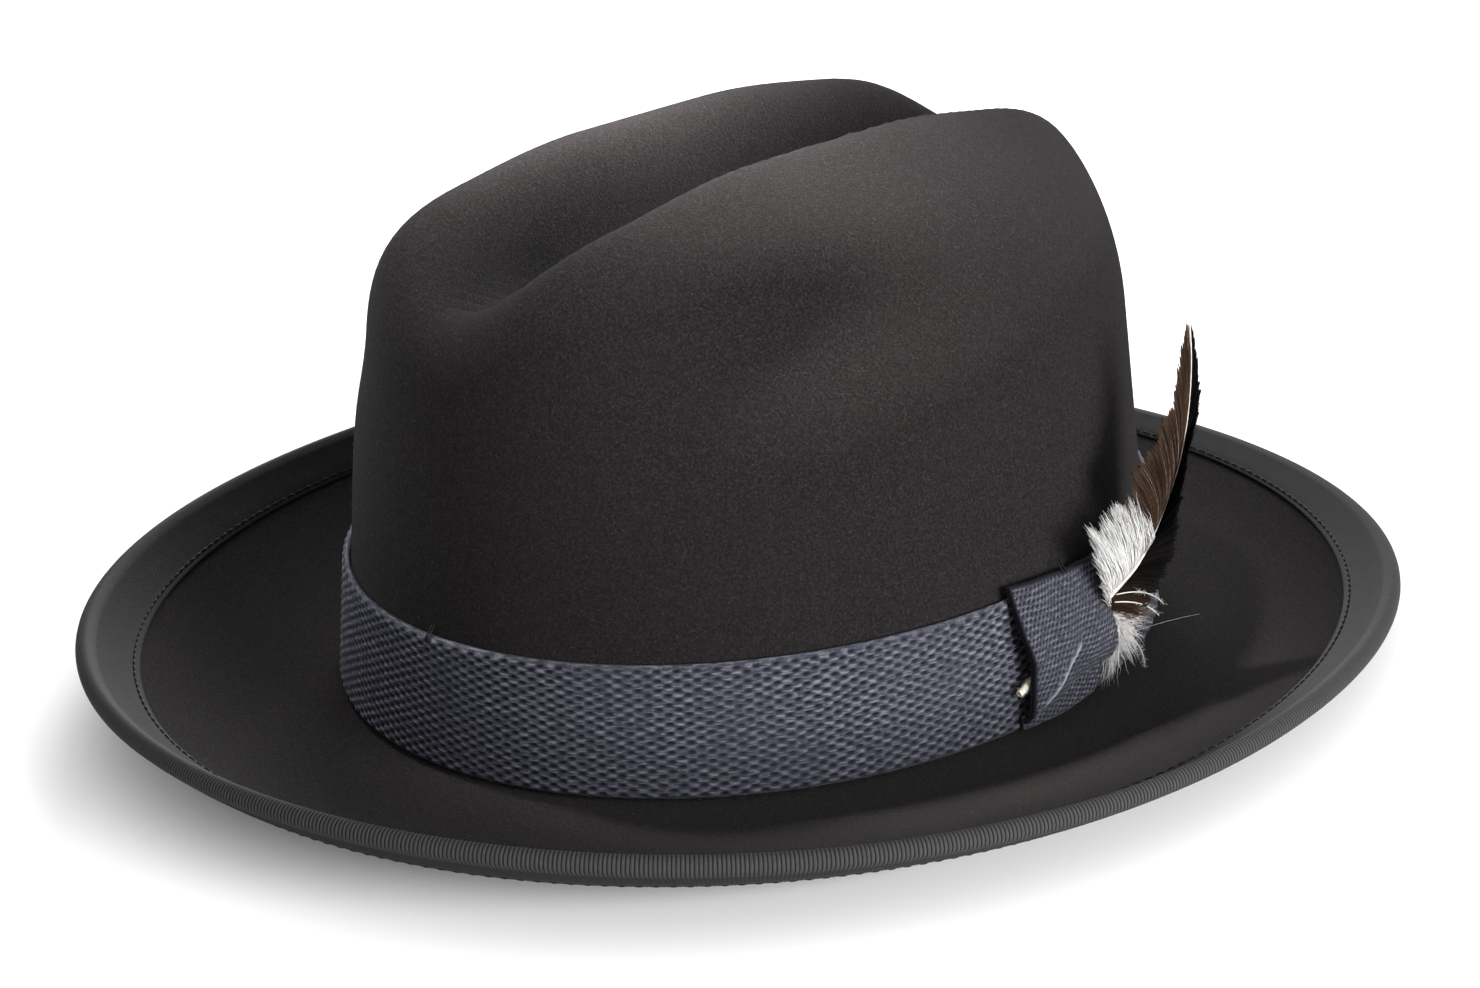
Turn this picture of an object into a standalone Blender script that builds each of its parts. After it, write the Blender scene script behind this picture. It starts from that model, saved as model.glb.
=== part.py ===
"""Fur-felt fedora with a webbing band, a knot and a feather, and the sweatband and lining inside.

Metres, +Z up.  The hat stands on its brim at z = 0, its front towards -Y, and the wearer's left at +X,
where the knot and the feather are.  The origin is under the middle of the brim.
"""
import math

import bpy
import numpy as np

MM = 0.001

# Felt body.  Widths are to the felt's outer face, heights from the surface the hat stands on.
FELT = 2.2 * MM
RIM_X = 143.2 * MM
RIM_Y = 159.4 * MM
RIM_RISE_SIDE = 13.5 * MM
RIM_RISE_FRONT = 19.0 * MM
RIM_RISE_BACK = 4.0 * MM
CURL_START = 0.26
CURL_POWER = 2.3
CROWN_X = 87.4 * MM
CROWN_FRONT = 105.0 * MM
CROWN_BACK = 97.5 * MM
CROWN_MID_Y = 4.0 * MM
BREAK_RADIUS = 3.0 * MM
LEAN_SIDE = 0.14
LEAN_FRONT = 0.070
LEAN_BACK = 0.035
CREST = 120.6 * MM
CREST_FALL = 0.012
FRONT_DROP = 7.0 * MM
FRONT_DROP_FROM = -20.0 * MM
FRONT_DROP_TO = -85.0 * MM
BACK_DROP = 6.8 * MM
BACK_DROP_FROM = 20.0 * MM
BACK_DROP_TO = 90.0 * MM
FLANK_SLOPE = 0.49
RIDGE_X = 22.5 * MM
RIDGE_ROUND = 6.0 * MM
SHOULDER_FRONT = 20.0 * MM
SHOULDER_BACK = 26.0 * MM
SHOULDER_FROM = -50.0 * MM
SHOULDER_TO = 60.0 * MM
CREASE_DEPTH = 29.0 * MM
CREASE_HALF = 25.5 * MM
CREASE_FRONT = -112.0 * MM
CREASE_FULL = -50.0 * MM
CREASE_FADE = 50.0 * MM
CREASE_BACK = 110.0 * MM
CREASE_LINE = 74.0 * MM
PINCH = 11.5 * MM
PINCH_AT = (56.0 * MM, -42.0 * MM, 91.0 * MM)
PINCH_SPREAD = (24.0 * MM, 40.0 * MM, 17.0 * MM)
LEVEL = 55.0 * MM
DOME_RISE = 65.0 * MM

# Gap kept between pieces that touch on the real hat.
GAP = 0.3 * MM

# Edge binding and its threads.
RIBBON = 0.45 * MM
BINDING_GAP = 0.42 * MM
BINDING_WING = 10.0 * MM
STITCH_IN = 8.6 * MM
THREAD = 0.22 * MM

# Hatband, knot and tail of one webbing.
WEBBING = 1.3 * MM
BAND_FOOT = 3.1 * MM
BAND_HEIGHT = 29.0 * MM
BAND_JOIN = 0.4 * MM
BAND_GAP = 0.45 * MM
KNOT_LEFT = (-11.5 * MM, -9.2 * MM)
KNOT_RIGHT = 19.0 * MM
KNOT_WAIST = 3.2 * MM
KNOT_FOOT = (4.6 * MM, 13.0 * MM)
KNOT_HEAD = (34.6 * MM, 32.6 * MM)
KNOT_STAND = (2.3 * MM, 0.5 * MM)
KNOT_ARCH = 2.9 * MM
TAIL_FROM = -11.3 * MM
TAIL_TO = 18.6 * MM
TAIL_FOOT = 2.9 * MM
TAIL_RISE = 2.25 * MM
TAIL_HEAD = (4.0 * MM, 12.6 * MM)
TAIL_STAND = 0.4 * MM

# Feather.  The quill is straight from its cut end to where the shaft starts to bend.
QUILL_RADIUS = 1.05 * MM
QUILL_END = (89.2 * MM, -13.6 * MM, 12.7 * MM)
SHAFT_START = (87.4 * MM, 28.2 * MM, 25.6 * MM)
SHAFT_PULL_LOW = (87.0 * MM, 37.3 * MM, 28.4 * MM)
SHAFT_PULL_HIGH = (90.5 * MM, 50.6 * MM, 48.3 * MM)
SHAFT_TIP = (93.5 * MM, 41.0 * MM, 82.2 * MM)
VANE = 0.5 * MM

# Sweatband and lining.  Depths are from the crown's outer face inwards.
LEATHER = 1.0 * MM
SWEAT_DEPTH = 5.95 * MM
SWEAT_FOOT = 1.0 * MM
SWEAT_TOP = 40.0 * MM
REED_RADIUS = 0.7 * MM
REED_DEPTH = 3.95 * MM
REED_HEIGHT = 2.2 * MM
TAPE = 0.35 * MM
SATIN = 0.4 * MM
LINING_DEPTH = 3.0 * MM
LINING_FOOT = 14.0 * MM
LINING_TOP = 78.0 * MM
LINING_ROUND = 48.0 * MM
LINING_SEAM = 34.0
SHIELD = 0.3 * MM

TINY = 1e-9
AROUND = 52
RING = 52
LINING_AROUND = 40


def clear_scene():
    for thing in list(bpy.data.objects):
        bpy.data.objects.remove(thing, do_unlink=True)


def finish_of(name, colour, roughness, sheen=0.0, transmission=0.0):
    material = bpy.data.materials.new(name)
    material.use_nodes = True
    shader = material.node_tree.nodes["Principled BSDF"]
    shader.inputs["Base Color"].default_value = (*colour, 1.0)
    shader.inputs["Roughness"].default_value = roughness
    shader.inputs["Metallic"].default_value = 0.0
    shader.inputs["Sheen Weight"].default_value = sheen
    shader.inputs["Transmission Weight"].default_value = transmission
    return material


def place(name, data, material):
    piece = bpy.data.objects.new(name, data)
    data.materials.append(material)
    bpy.context.scene.collection.objects.link(piece)
    return piece


def sheet(name, rows, thickness, material, wrap=False, pole=False, seam=None):
    """A thin piece grown outwards from rows of points.

    wrap joins each row's ends, pole closes the last row to its middle, and seam closes it onto a line of
    points that its left and right halves share.
    """
    rows = [np.asarray(row) for row in rows]
    width = len(rows[0])
    points = [tuple(point) for row in rows for point in row]
    faces = []
    for i in range(len(rows) - 1):
        for j in range(width if wrap else width - 1):
            k = (j + 1) % width
            faces.append((i * width + j, i * width + k, (i + 1) * width + k, (i + 1) * width + j))
    if pole:
        points.append(tuple(rows[-1].mean(axis=0)))
        last = (len(rows) - 1) * width
        faces += [(last + j, last + (j + 1) % width, len(points) - 1) for j in range(width)]
    if seam is not None:
        last = (len(rows) - 1) * width
        line = len(points)
        points += [tuple(point) for point in seam]
        for j in range(width):
            k = (j + 1) % width
            near = line + min(j, width - j)
            far = line + min(k, width - k)
            faces.append((last + j, last + k, far, near))
    mesh = bpy.data.meshes.new(name)
    mesh.from_pydata(points, [], faces)
    mesh.shade_smooth()
    piece = place(name, mesh, material)
    solid = piece.modifiers.new("thickness", "SOLIDIFY")
    solid.thickness = thickness
    solid.offset = 1.0
    solid.use_even_offset = True
    return piece


def cord(name, points, radius, material, closed=False, sides=0, radii=None):
    """A round thread, reed or shaft along points."""
    curve = bpy.data.curves.new(name, "CURVE")
    curve.dimensions = "3D"
    curve.bevel_depth = radius
    curve.bevel_resolution = sides
    curve.use_fill_caps = not closed
    spline = curve.splines.new("POLY")
    spline.points.add(len(points) - 1)
    for i, point in enumerate(points):
        spline.points[i].co = (*point, 1.0)
        spline.points[i].radius = radii[i] if radii is not None else 1.0
    spline.use_cyclic_u = closed
    return place(name, curve, material)


# ---- The crown's shape -------------------------------------------------------------------------

def angles(count=AROUND, start=-math.pi / 2, sweep=2 * math.pi, closed=True):
    steps = count if closed else count - 1
    return start + sweep * np.arange(count) / steps


def half_length(front, rise):
    """Half-length of the crown's outline at a height above the brim, for its front or its back half."""
    return np.where(front, CROWN_FRONT - LEAN_FRONT * rise, CROWN_BACK - LEAN_BACK * rise)


def wall_point(t, z, out=0.0):
    """Point at angle t and height z on the crown's outer wall, moved outwards by out."""
    t = np.asarray(t, dtype=float)
    rise = z - FELT
    half_x = CROWN_X - LEAN_SIDE * rise
    half_y = half_length(np.sin(t) < 0, rise)
    normal_x = np.cos(t) / half_x
    normal_y = np.sin(t) / half_y
    size = np.hypot(normal_x, normal_y)
    x = half_x * np.cos(t) + out * normal_x / size
    y = CROWN_MID_Y + half_y * np.sin(t) + out * normal_y / size
    return np.stack([x, y, np.full_like(x, z)], axis=-1)


def ramp(value, low, high):
    u = np.clip((value - low) / (high - low), 0.0, 1.0)
    return u * u * (3 - 2 * u)


def soft_max(a, b, rounding):
    near = np.maximum(rounding - np.abs(a - b), 0.0) / rounding
    return np.maximum(a, b) + near * near * rounding / 4


def wall_distance(x, y, z):
    rise = z - FELT
    half_x = CROWN_X - LEAN_SIDE * rise
    half_y = half_length(y < CROWN_MID_Y, rise)
    reach = np.hypot(x, y - CROWN_MID_Y) + TINY
    scale = np.hypot(x / half_x, (y - CROWN_MID_Y) / half_y) + TINY / half_x
    return reach - reach / scale


def top_height(x, y):
    """Height of the crown's top before its edge is rounded: flanks, ridges and the crease between."""
    beyond = np.maximum(np.abs(x) - RIDGE_X, 0.0)
    flank = FLANK_SLOPE * (np.hypot(beyond, RIDGE_ROUND) - RIDGE_ROUND)
    valley = np.cos(np.clip(x / CREASE_HALF, -1.0, 1.0) * math.pi / 2) ** 2
    depth = CREASE_DEPTH * ramp(y, CREASE_FRONT, CREASE_FULL) * (1 - ramp(y, CREASE_FADE, CREASE_BACK))
    drop = FRONT_DROP * ramp(-y, -FRONT_DROP_FROM, -FRONT_DROP_TO)
    drop = drop + BACK_DROP * ramp(y, BACK_DROP_FROM, BACK_DROP_TO)
    return CREST - CREST_FALL * y - drop - flank - depth * valley


def pinch(x, y, z):
    parts = [(np.abs(x) - PINCH_AT[0]) / PINCH_SPREAD[0],
             (y - PINCH_AT[1]) / PINCH_SPREAD[1],
             (z - PINCH_AT[2]) / PINCH_SPREAD[2]]
    return PINCH * np.exp(-sum(part ** 2 for part in parts))


def felt_field(x, y, z):
    """Negative inside the crown's outer face, roughly in metres."""
    shoulder = SHOULDER_FRONT + (SHOULDER_BACK - SHOULDER_FRONT) * ramp(y, SHOULDER_FROM, SHOULDER_TO)
    return soft_max(wall_distance(x, y, z), z - top_height(x, y), shoulder) + pinch(x, y, z)


def lining_field(x, y, z):
    return soft_max(wall_distance(x, y, z) + LINING_DEPTH, z - LINING_TOP, LINING_ROUND)


def dome_row(field, t, climb, inset):
    """Ring where rays that climb at one angle from the crown's middle meet field = -inset."""
    side = math.cos(climb)
    ray = np.stack([CROWN_X * np.cos(t) * side, half_length(np.sin(t) < 0, 0.0) * np.sin(t) * side,
                    np.full_like(t, DOME_RISE * math.sin(climb))], axis=-1)
    low = np.full_like(t, 0.1)
    high = np.full_like(t, 2.0)
    for _ in range(40):
        middle = (low + high) / 2
        x, y, z = (ray * middle[:, None]).T
        inside = field(x, y + CROWN_MID_Y, z + LEVEL) < -inset
        low = np.where(inside, middle, low)
        high = np.where(inside, high, middle)
    return ray * low[:, None] + np.array([0.0, CROWN_MID_Y, LEVEL])


def top_row(t, edge, inset, part):
    """Row that has closed from the shoulder row towards the crease's bottom line by the given part."""
    x = edge[:, 0] * (1 - part)
    y = edge[:, 1] * (1 - part) + (CROWN_MID_Y + CREASE_LINE * np.sin(t)) * part
    low = np.full_like(t, LEVEL)
    for level in np.arange(LEVEL, CREST + 10 * MM, 1 * MM):
        inside = felt_field(x, y, level) < -inset
        low = np.where(inside, level, low)
    high = low + 1 * MM
    for _ in range(20):
        middle = (low + high) / 2
        inside = felt_field(x, y, middle) < -inset
        low = np.where(inside, middle, low)
        high = np.where(inside, high, middle)
    return np.stack([x, y, low], axis=-1)


# ---- The brim's shape --------------------------------------------------------------------------

def rim_rise(t):
    ends = np.where(np.sin(t) < 0, RIM_RISE_FRONT, RIM_RISE_BACK)
    return RIM_RISE_SIDE * np.cos(t) ** 2 + ends * np.sin(t) ** 2


def brim_point(t, s):
    """Point on the brim's underside, s = 0 at the crown and 1 at the rim."""
    t = np.asarray(t, dtype=float)
    inner = wall_point(t, 0.0, BREAK_RADIUS - FELT)
    curl = max(0.0, (s - CURL_START) / (1 - CURL_START)) ** CURL_POWER
    x = inner[..., 0] * (1 - s) + RIM_X * np.cos(t) * s
    y = inner[..., 1] * (1 - s) + RIM_Y * np.sin(t) * s
    return np.stack([x, y, rim_rise(t) * curl], axis=-1)


def brim_frame(t, s):
    """Underside point with its outward and upward directions."""
    small = 1e-4
    here = brim_point(t, s)
    outward = here - brim_point(t, s - small)
    along = brim_point(t + small, s) - here
    up = np.cross(outward, along)
    up = up / np.linalg.norm(up, axis=-1, keepdims=True)
    out = np.cross(along, up)
    out = out / np.linalg.norm(out, axis=-1, keepdims=True)
    return here, out, up


def rim_share(distance):
    """The s value that lies the given distance in from the rim."""
    return 1 - distance / (RIM_X - CROWN_X - 2 * MM)


# ---- Felt, binding and band --------------------------------------------------------------------

def make_felt(material):
    t = angles()
    rows = [brim_point(t, s) for s in (1.0, 0.96, 0.91, 0.83, 0.72, 0.56, 0.40, CURL_START, 0.18, 0.08)]
    for turn in (0.0, 30.0, 60.0):
        bend = math.radians(turn)
        row = wall_point(t, 0.0, BREAK_RADIUS * (1 - math.sin(bend)) - FELT)
        row[:, 2] = BREAK_RADIUS * (1 - math.cos(bend))
        rows.append(row)
    for z in (BREAK_RADIUS, 20 * MM, 38 * MM):
        rows.append(wall_point(t, z, -FELT))
    for climb in (0, 14, 27, 37):
        rows.append(dome_row(felt_field, t, math.radians(climb), FELT))
    edge = rows[-1]
    for part in (0.13, 0.27, 0.41, 0.54, 0.66, 0.77, 0.88):
        rows.append(top_row(t, edge, FELT, part))
    line = top_row(t, edge, FELT, 1.0)[:AROUND // 2 + 1]
    return sheet("felt_body", rows, FELT, material, wrap=True, seam=line)


def make_binding(material):
    t = angles(RING)
    rows = []
    for back in (BINDING_WING, BINDING_WING / 2, 0.6 * MM):
        here, _, up = brim_frame(t, rim_share(back))
        rows.append(here - up * BINDING_GAP)
    here, out, up = brim_frame(t, 1.0)
    middle = here + up * FELT / 2
    reach = FELT / 2 + BINDING_GAP
    for turn in (-60, -20, 20, 60):
        bend = math.radians(turn)
        rows.append(middle + (out * math.cos(bend) + up * math.sin(bend)) * reach * 1.08)
    for back in (0.6 * MM, BINDING_WING / 2, BINDING_WING):
        here, _, up = brim_frame(t, rim_share(back))
        rows.append(here + up * (FELT + BINDING_GAP))
    return sheet("brim_binding", rows, RIBBON, material, wrap=True)


def make_binding_threads(material):
    t = angles(RING)
    here, _, up = brim_frame(t, rim_share(STITCH_IN))
    reach = BINDING_GAP + RIBBON + GAP + THREAD
    cord("binding_top_stitch", here + up * (FELT + reach), THREAD, material, closed=True)
    cord("binding_under_stitch", here - up * reach, THREAD, material, closed=True)


def open_ring(t_gap, distance, count=RING):
    """Angles once round, from one side of a join to the other."""
    half = math.asin(distance / CROWN_X)
    return angles(count, t_gap + half, 2 * math.pi - 2 * half, closed=False)


def make_hatband(material):
    t = open_ring(0.0, BAND_JOIN)
    rows = [wall_point(t, BAND_FOOT + BAND_HEIGHT * part, BAND_GAP) for part in (0.0, 0.5, 1.0)]
    return sheet("hatband", rows, WEBBING, material)


def side_point(y, z, out):
    """Point on the wearer's left, out from the hatband's outer face."""
    rise = z - FELT
    half_y = half_length(y < CROWN_MID_Y, rise)
    across = math.sqrt(1 - ((y - CROWN_MID_Y) / half_y) ** 2)
    return ((CROWN_X - LEAN_SIDE * rise) * across + BAND_GAP + WEBBING + out, y, z)


def mix(a, b, part):
    return a * (1 - part) + b * part


def make_knot(material):
    """Webbing folded over the band, standing off it where the quill runs underneath."""
    rows = []
    for i in range(8):
        up = i / 7
        row = []
        for j in range(8):
            along = j / 7
            foot = mix(KNOT_FOOT[0], KNOT_FOOT[1], along)
            head = mix(KNOT_HEAD[0], KNOT_HEAD[1], along)
            left = mix(KNOT_LEFT[0], KNOT_LEFT[1], up) + KNOT_WAIST * math.sin(math.pi * up) ** 2
            arch = KNOT_ARCH * math.sin(math.pi * up ** 0.75)
            stand = mix(KNOT_STAND[0], KNOT_STAND[1], up) + arch
            row.append(side_point(mix(left, KNOT_RIGHT, along), mix(foot, head, up), stand))
        rows.append(row)
    return sheet("bow_knot", rows, WEBBING, material)


def make_tail(material):
    """The folded-under end, flat on the band below the knot's slanting lower edge."""
    rows = []
    for i in range(3):
        up = i / 2
        row = []
        for j in range(6):
            along = j / 5
            foot = TAIL_FOOT + TAIL_RISE * max(0.0, 2 * along - 1)
            head = mix(TAIL_HEAD[0], TAIL_HEAD[1], along)
            row.append(side_point(mix(TAIL_FROM, TAIL_TO, along), mix(foot, head, up), TAIL_STAND))
        rows.append(row)
    return sheet("bow_tail", rows, WEBBING, material)


def make_tacks(material):
    """Short threads over the band's upper edge and one over the knot's."""
    top = BAND_FOOT + BAND_HEIGHT
    for name, degrees in (("front", -90), ("right", 180), ("back", 90)):
        t = math.radians(degrees)
        points = [wall_point(t, top + rise * MM, 0.55 * MM) for rise in (0.5, 1.4, 2.3)]
        cord(f"band_tack_{name}", points, THREAD, material)
    points = [side_point(6 * MM, 34.6 * MM + rise * MM, -0.6 * MM) for rise in (0.2, 1.2, 2.2)]
    cord("bow_tack", points, THREAD, material)


# ---- Feather -----------------------------------------------------------------------------------

def shaft_point(part):
    """Point on the bent part of the shaft, a cubic curve."""
    keep = 1 - part
    weights = (keep ** 3, 3 * keep ** 2 * part, 3 * keep * part ** 2, part ** 3)
    pulls = (SHAFT_START, SHAFT_PULL_LOW, SHAFT_PULL_HIGH, SHAFT_TIP)
    return sum(weight * np.array(pull) for weight, pull in zip(weights, pulls))


def shaft_left(part):
    """Unit direction across the vane, in the feather's own flat plane."""
    step = shaft_point(min(part + 0.01, 1.0)) - shaft_point(max(part - 0.01, 0.0))
    left = np.array([0.0, -step[2], step[1]])
    return left / np.linalg.norm(left)


def make_shaft(material):
    start = np.array(SHAFT_START)
    end = np.array(QUILL_END)
    points = [mix(end, start, part) for part in (0.0, 0.35, 0.7)]
    points += [shaft_point(part) for part in np.linspace(0.0, 1.0, 11)]
    radii = [1.0] * 3 + [mix(1.0, 0.22, part) for part in np.linspace(0.0, 1.0, 11)]
    return cord("feather_shaft", points, QUILL_RADIUS, material, sides=1, radii=radii)


def vane(name, side, first, widest, width, material):
    """One flat side of the feather; it grows from nothing to its width and narrows to the tip."""
    parts = np.linspace(first, 0.985, 10)
    inner = []
    outer = []
    for part in parts:
        left = shaft_left(part) * side
        root = QUILL_RADIUS * mix(1.0, 0.22, part) + GAP
        swell = min(1.0, (part - first) / (widest - first) + 0.12) ** 0.7
        taper = 1.0 if part < widest else ((1 - part) / (1 - widest)) ** 0.8
        base = shaft_point(part) - np.array([VANE / 2, 0.0, 0.0])
        inner.append(base + left * root)
        outer.append(base + left * (root + 0.6 * MM + width * swell * taper))
    rows = [inner, [mix(a, b, 0.5) for a, b in zip(inner, outer)], outer]
    if side > 0:
        rows.reverse()
    return sheet(name, rows, VANE, material)


def down(name, middle, radii, tilt, material):
    """A flattened tuft."""
    rows = []
    spin = np.array([[1, 0, 0], [0, math.cos(tilt), -math.sin(tilt)], [0, math.sin(tilt), math.cos(tilt)]])
    for climb in np.radians((-60, -25, 10, 45)):
        ring = []
        for turn in angles(10):
            local = (radii[0] * math.cos(climb) * math.cos(turn), radii[1] * math.cos(climb) * math.sin(turn),
                     radii[2] * math.sin(climb))
            ring.append(spin @ np.array(local) + np.array(middle))
        rows.append(ring)
    low = spin @ np.array((0, 0, -radii[2])) + np.array(middle)
    high = spin @ np.array((0, 0, radii[2])) + np.array(middle)
    points = [tuple(point) for ring in rows for point in ring] + [tuple(low), tuple(high)]
    faces = []
    for i in range(3):
        for j in range(10):
            k = (j + 1) % 10
            faces.append((i * 10 + j, i * 10 + k, i * 10 + 10 + k, i * 10 + 10 + j))
    faces += [(j, 40, (j + 1) % 10) for j in range(10)]
    faces += [(30 + j, 30 + (j + 1) % 10, 41) for j in range(10)]
    mesh = bpy.data.meshes.new(name)
    mesh.from_pydata(points, [], faces)
    mesh.shade_smooth()
    return place(name, mesh, material)


# ---- Sweatband and lining ----------------------------------------------------------------------

def make_sweatband(leather, thread, reed, ribbon):
    back = math.pi / 2
    t = open_ring(back, 0.5 * MM)
    rows = [wall_point(t, mix(SWEAT_FOOT, SWEAT_TOP, part), -SWEAT_DEPTH) for part in (0.0, 0.5, 1.0)]
    sheet("sweatband", rows, LEATHER, leather)
    t = angles(RING)
    cord("sweatband_reed", wall_point(t, REED_HEIGHT, -REED_DEPTH), REED_RADIUS, reed, closed=True)
    rows = [wall_point(t, z * MM, -REED_DEPTH + REED_RADIUS + GAP) for z in (1.0, 8.0)]
    sheet("reed_tape", rows, TAPE, ribbon, wrap=True)
    inner = SWEAT_DEPTH + GAP + THREAD
    cord("sweatband_stitch", wall_point(t, 5.5 * MM, -inner), THREAD, thread, closed=True)
    t = angles(5, back - 0.055, 0.11, closed=False)
    rows = [wall_point(t, z * MM, -4.65 * MM) for z in (4.0, 37.0)]
    sheet("sweatband_back_tape", rows, TAPE, ribbon)
    t = angles(5, 0.9, 0.12, closed=False)
    rows = [wall_point(t, z * MM, -4.3 * MM) for z in (20.0, 36.0)]
    sheet("size_tag", rows, 0.3 * MM, finish_of("tag_paper", (0.75, 0.72, 0.64), 0.8))


def make_back_bow(ribbon):
    """A flat loop of ribbon against the sweatband's back seam, and the turn of ribbon round its middle."""
    face = wall_point(math.pi / 2, 12 * MM, -SWEAT_DEPTH)
    middle = np.array([0.0, face[1] - 2.6 * MM, 12 * MM])
    loop = []
    for turn in angles(20):
        squeeze = 0.45 + 0.55 * math.cos(turn) ** 2
        loop.append(middle + np.array([13 * MM * math.cos(turn), 1.5 * MM * squeeze * math.sin(turn), 0.0]))
    rows = [[point + np.array([0.0, 0.0, rise * MM]) for point in loop] for rise in (-2.5, 2.5)]
    sheet("sweatband_bow_loop", rows, 0.35 * MM, ribbon, wrap=True)
    wrap = []
    for turn in angles(16):
        y = math.copysign(abs(math.cos(turn)) ** 0.6, math.cos(turn)) * 1.6 * MM
        z = math.copysign(abs(math.sin(turn)) ** 0.6, math.sin(turn)) * 3.2 * MM
        wrap.append(middle + np.array([0.0, y, z]))
    rows = [[point + np.array([x * MM, 0.0, 0.0]) for point in wrap] for x in (-2.0, 2.0)]
    sheet("sweatband_bow_knot", rows, 0.35 * MM, ribbon, wrap=True)


def make_lining(satin, clear):
    t = angles(LINING_AROUND)
    rows = [wall_point(t, z, -LINING_DEPTH) for z in (LINING_FOOT, LINING_FOOT * 2)]
    for climb in (-12, 3, 15, 24, LINING_SEAM - 1.5):
        rows.append(dome_row(lining_field, t, math.radians(climb), 0.0))
    sheet("lining_side", rows, SATIN, satin, wrap=True)
    rows = [dome_row(lining_field, t, math.radians(climb), 0.0) for climb in (LINING_SEAM + 1.5, 50, 70)]
    sheet("lining_tip", rows, SATIN, satin, wrap=True, pole=True)
    seam = dome_row(lining_field, t, math.radians(LINING_SEAM), 1.1 * MM)
    cord("lining_piping", seam, 0.6 * MM, satin, closed=True)
    rows = [dome_row(lining_field, t, math.radians(climb), 1.0 * MM) for climb in (42, 65)]
    sheet("lining_shield", rows, SHIELD, clear, wrap=True, pole=True)


def main():
    clear_scene()
    felt = finish_of("charcoal_felt", (0.035, 0.032, 0.032), 0.95, sheen=0.4)
    ribbon = finish_of("ribbed_ribbon", (0.05, 0.05, 0.053), 0.75)
    webbing = finish_of("slate_webbing", (0.085, 0.09, 0.115), 0.85, sheen=0.2)
    thread = finish_of("dark_thread", (0.02, 0.02, 0.022), 0.7)
    make_felt(felt)
    make_binding(ribbon)
    make_binding_threads(thread)
    make_hatband(webbing)
    make_knot(webbing)
    make_tail(webbing)
    make_tacks(thread)

    quill = finish_of("feather_quill", (0.80, 0.76, 0.68), 0.45)
    brown = finish_of("brown_barbs", (0.10, 0.055, 0.035), 0.7, sheen=0.3)
    black = finish_of("black_barbs", (0.012, 0.011, 0.012), 0.6, sheen=0.3)
    white = finish_of("white_down", (0.85, 0.83, 0.80), 0.9)
    make_shaft(quill)
    vane("feather_brown_vane", 1, 0.22, 0.50, 10.5 * MM, brown)
    vane("feather_black_vane", -1, 0.06, 0.42, 6.0 * MM, black)
    down("feather_upper_down", (93.5 * MM, 30.0 * MM, 39.0 * MM), (2.4 * MM, 6.5 * MM, 12.0 * MM), 0.1, white)
    down("feather_lower_down", (88.5 * MM, 29.0 * MM, 13.6 * MM), (2.4 * MM, 5.6 * MM, 4.4 * MM), 0.0, white)

    leather = finish_of("sweatband_leather", (0.16, 0.085, 0.045), 0.5)
    reed = finish_of("reed_plastic", (0.55, 0.53, 0.48), 0.4)
    satin = finish_of("lining_satin", (0.11, 0.10, 0.10), 0.35)
    clear = finish_of("clear_film", (0.9, 0.9, 0.9), 0.08, transmission=1.0)
    make_sweatband(leather, thread, reed, ribbon)
    make_back_bow(ribbon)
    make_lining(satin, clear)


main()
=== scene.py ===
import math

import bpy
import numpy as np
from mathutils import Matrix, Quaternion, Vector


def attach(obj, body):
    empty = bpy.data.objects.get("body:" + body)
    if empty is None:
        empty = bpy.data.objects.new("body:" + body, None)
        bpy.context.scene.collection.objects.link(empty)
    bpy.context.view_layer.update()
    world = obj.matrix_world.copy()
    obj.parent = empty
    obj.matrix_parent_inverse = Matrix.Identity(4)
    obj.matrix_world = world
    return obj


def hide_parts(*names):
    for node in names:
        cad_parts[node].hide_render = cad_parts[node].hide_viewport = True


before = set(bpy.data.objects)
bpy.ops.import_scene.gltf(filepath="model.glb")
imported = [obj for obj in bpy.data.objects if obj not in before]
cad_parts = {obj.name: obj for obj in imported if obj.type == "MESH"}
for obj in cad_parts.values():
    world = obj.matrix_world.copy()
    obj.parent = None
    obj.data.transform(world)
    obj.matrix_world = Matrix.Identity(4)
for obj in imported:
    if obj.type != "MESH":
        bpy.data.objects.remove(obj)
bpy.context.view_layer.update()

# A fur-felt fedora: felt, ribbed binding, woven band and knot, feather, sweatband and lining.
# Metres, +Z up, front towards -Y, the knot and the feather at +X.

MM = 0.001


def mm(*lengths):
    return np.array(lengths) * MM


# ---- The hat's own sizes, as in the CAD part ----

FELT = 2.2 * MM
RIM_X = 143.2 * MM
RIM_Y = 159.4 * MM
RIM_RISE_SIDE = 13.5 * MM
RIM_RISE_FRONT = 19.0 * MM
RIM_RISE_BACK = 4.0 * MM
CURL_START = 0.26
CURL_POWER = 2.3
CROWN_X = 87.4 * MM
CROWN_FRONT = 105.0 * MM
CROWN_BACK = 97.5 * MM
CROWN_MID_Y = 4.0 * MM
BREAK_RADIUS = 3.0 * MM
LEAN_SIDE = 0.14
LEAN_FRONT = 0.070
LEAN_BACK = 0.035
CREST = 120.6 * MM
CREST_FALL = 0.012
FRONT_DROP = 7.0 * MM
FRONT_DROP_FROM = -20.0 * MM
FRONT_DROP_TO = -85.0 * MM
BACK_DROP = 6.8 * MM
BACK_DROP_FROM = 20.0 * MM
BACK_DROP_TO = 90.0 * MM
FLANK_SLOPE = 0.49
RIDGE_X = 22.5 * MM
RIDGE_ROUND = 6.0 * MM
SHOULDER_FRONT = 20.0 * MM
SHOULDER_BACK = 26.0 * MM
CREASE_DEPTH = 29.0 * MM
CREASE_HALF = 25.5 * MM
CREASE_FRONT = -112.0 * MM
CREASE_FULL = -50.0 * MM
CREASE_FADE = 50.0 * MM
CREASE_BACK = 110.0 * MM
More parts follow.
